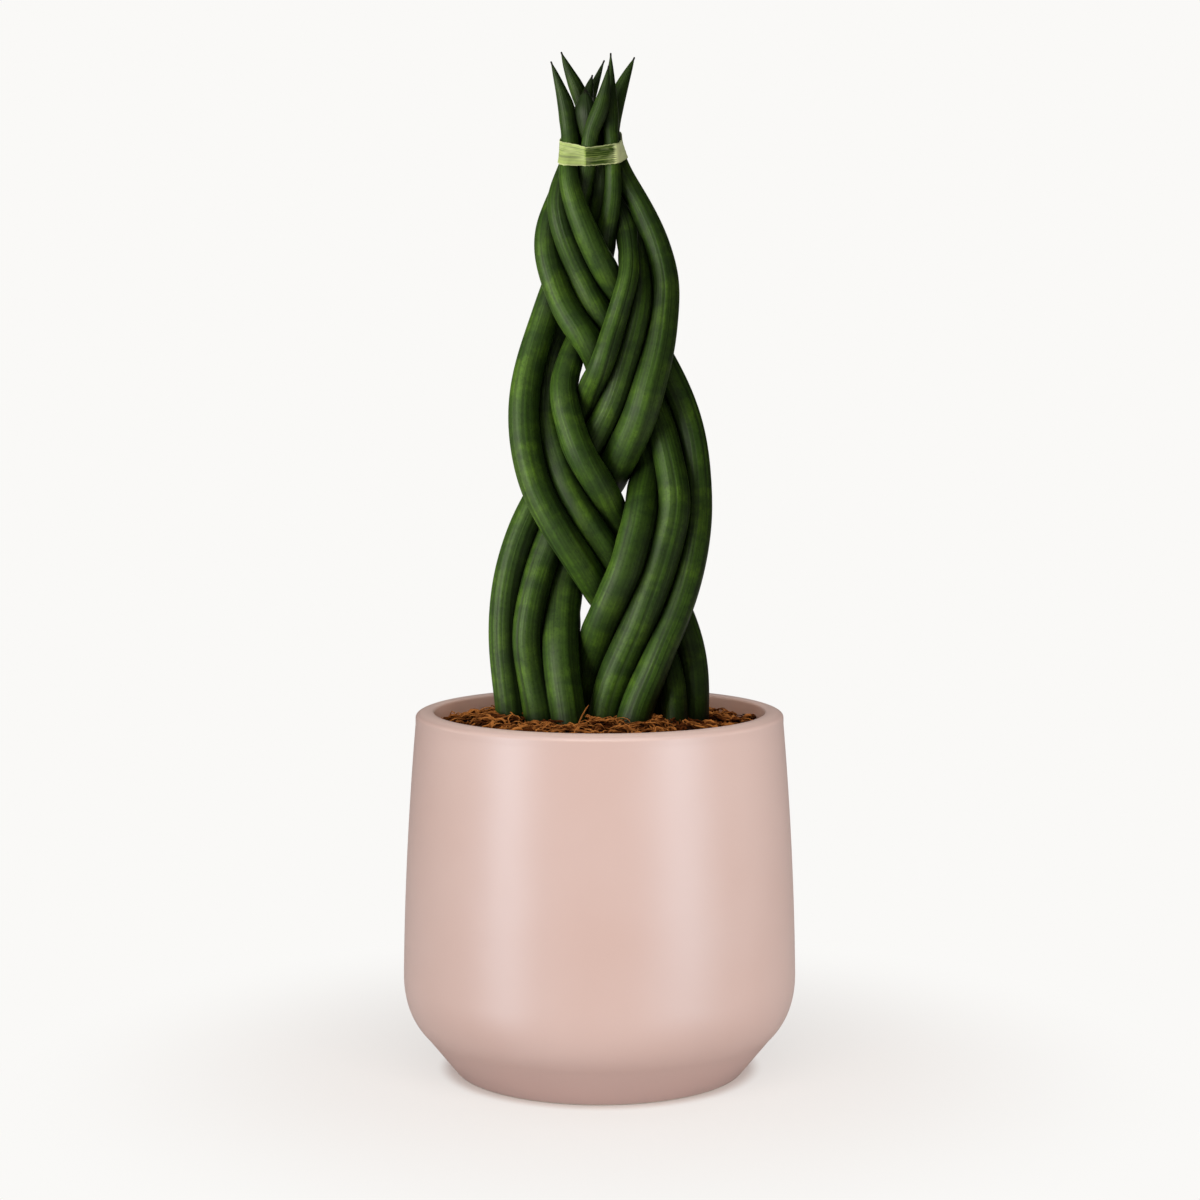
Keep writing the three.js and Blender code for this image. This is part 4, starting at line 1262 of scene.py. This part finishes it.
def add_camera(stage):
    """The camera in front of the pot, pitched down."""
    camera = bpy.data.objects.new("camera", bpy.data.cameras.new("camera"))
    camera.data.lens = stage.lens
    camera.location = (stage.camera_side, -stage.camera_distance, stage.camera_height)
    camera.rotation_euler = (np.pi / 2 - stage.camera_pitch, 0, 0)
    bpy.context.scene.collection.objects.link(camera)
    bpy.context.scene.camera = camera


class SNAKEPLANT_OT_stage(Operator):
    """Sets the floor, the sky, the softboxes and the camera"""

    bl_idname = "snakeplant.stage"
    bl_label = "Stage"

    def execute(self, context):
        stage = context.scene.stage_settings
        add_floor(stage)
        add_sky(stage)
        add_lights(stage)
        add_camera(stage)
        context.scene.view_settings.view_transform = "Standard"
        return {"FINISHED"}


# ---------------------------------------------------------------- panel and registration


class SNAKEPLANT_PT_panel(Panel):
    """Buttons for each piece of the plant"""

    bl_idname = "SNAKEPLANT_PT_panel"
    bl_label = "Snake Plant"
    bl_space_type = "VIEW_3D"
    bl_region_type = "UI"
    bl_category = "Snake Plant"

    def draw(self, context):
        for operator in OPERATORS:
            self.layout.operator(operator.bl_idname)


SETTINGS = {
    "pot_settings": PotSettings,
    "coir_settings": CoirSettings,
    "leaf_settings": LeafSettings,
    "tie_settings": TieSettings,
    "stage_settings": StageSettings,
}
OPERATORS = (
    SNAKEPLANT_OT_pot,
    SNAKEPLANT_OT_mix,
    SNAKEPLANT_OT_coir,
    SNAKEPLANT_OT_leaves,
    SNAKEPLANT_OT_tie,
    SNAKEPLANT_OT_stage,
)


def register():
    """Registers the settings, operators and panel."""
    for name, group in SETTINGS.items():
        bpy.utils.register_class(group)
        setattr(bpy.types.Scene, name, PointerProperty(type=group))
    for cls in (*OPERATORS, SNAKEPLANT_PT_panel):
        bpy.utils.register_class(cls)


def unregister():
    """Takes them away again."""
    for cls in reversed((*OPERATORS, SNAKEPLANT_PT_panel)):
        bpy.utils.unregister_class(cls)
    for name, group in SETTINGS.items():
        delattr(bpy.types.Scene, name)
        bpy.utils.unregister_class(group)


def main():
    """Builds every piece in order."""
    register()
    bpy.ops.snakeplant.pot()
    bpy.ops.snakeplant.mix()
    bpy.ops.snakeplant.coir()
    bpy.ops.snakeplant.leaves()
    bpy.ops.snakeplant.tie()
    bpy.ops.snakeplant.stage()


if __name__ == "__main__":
    main()
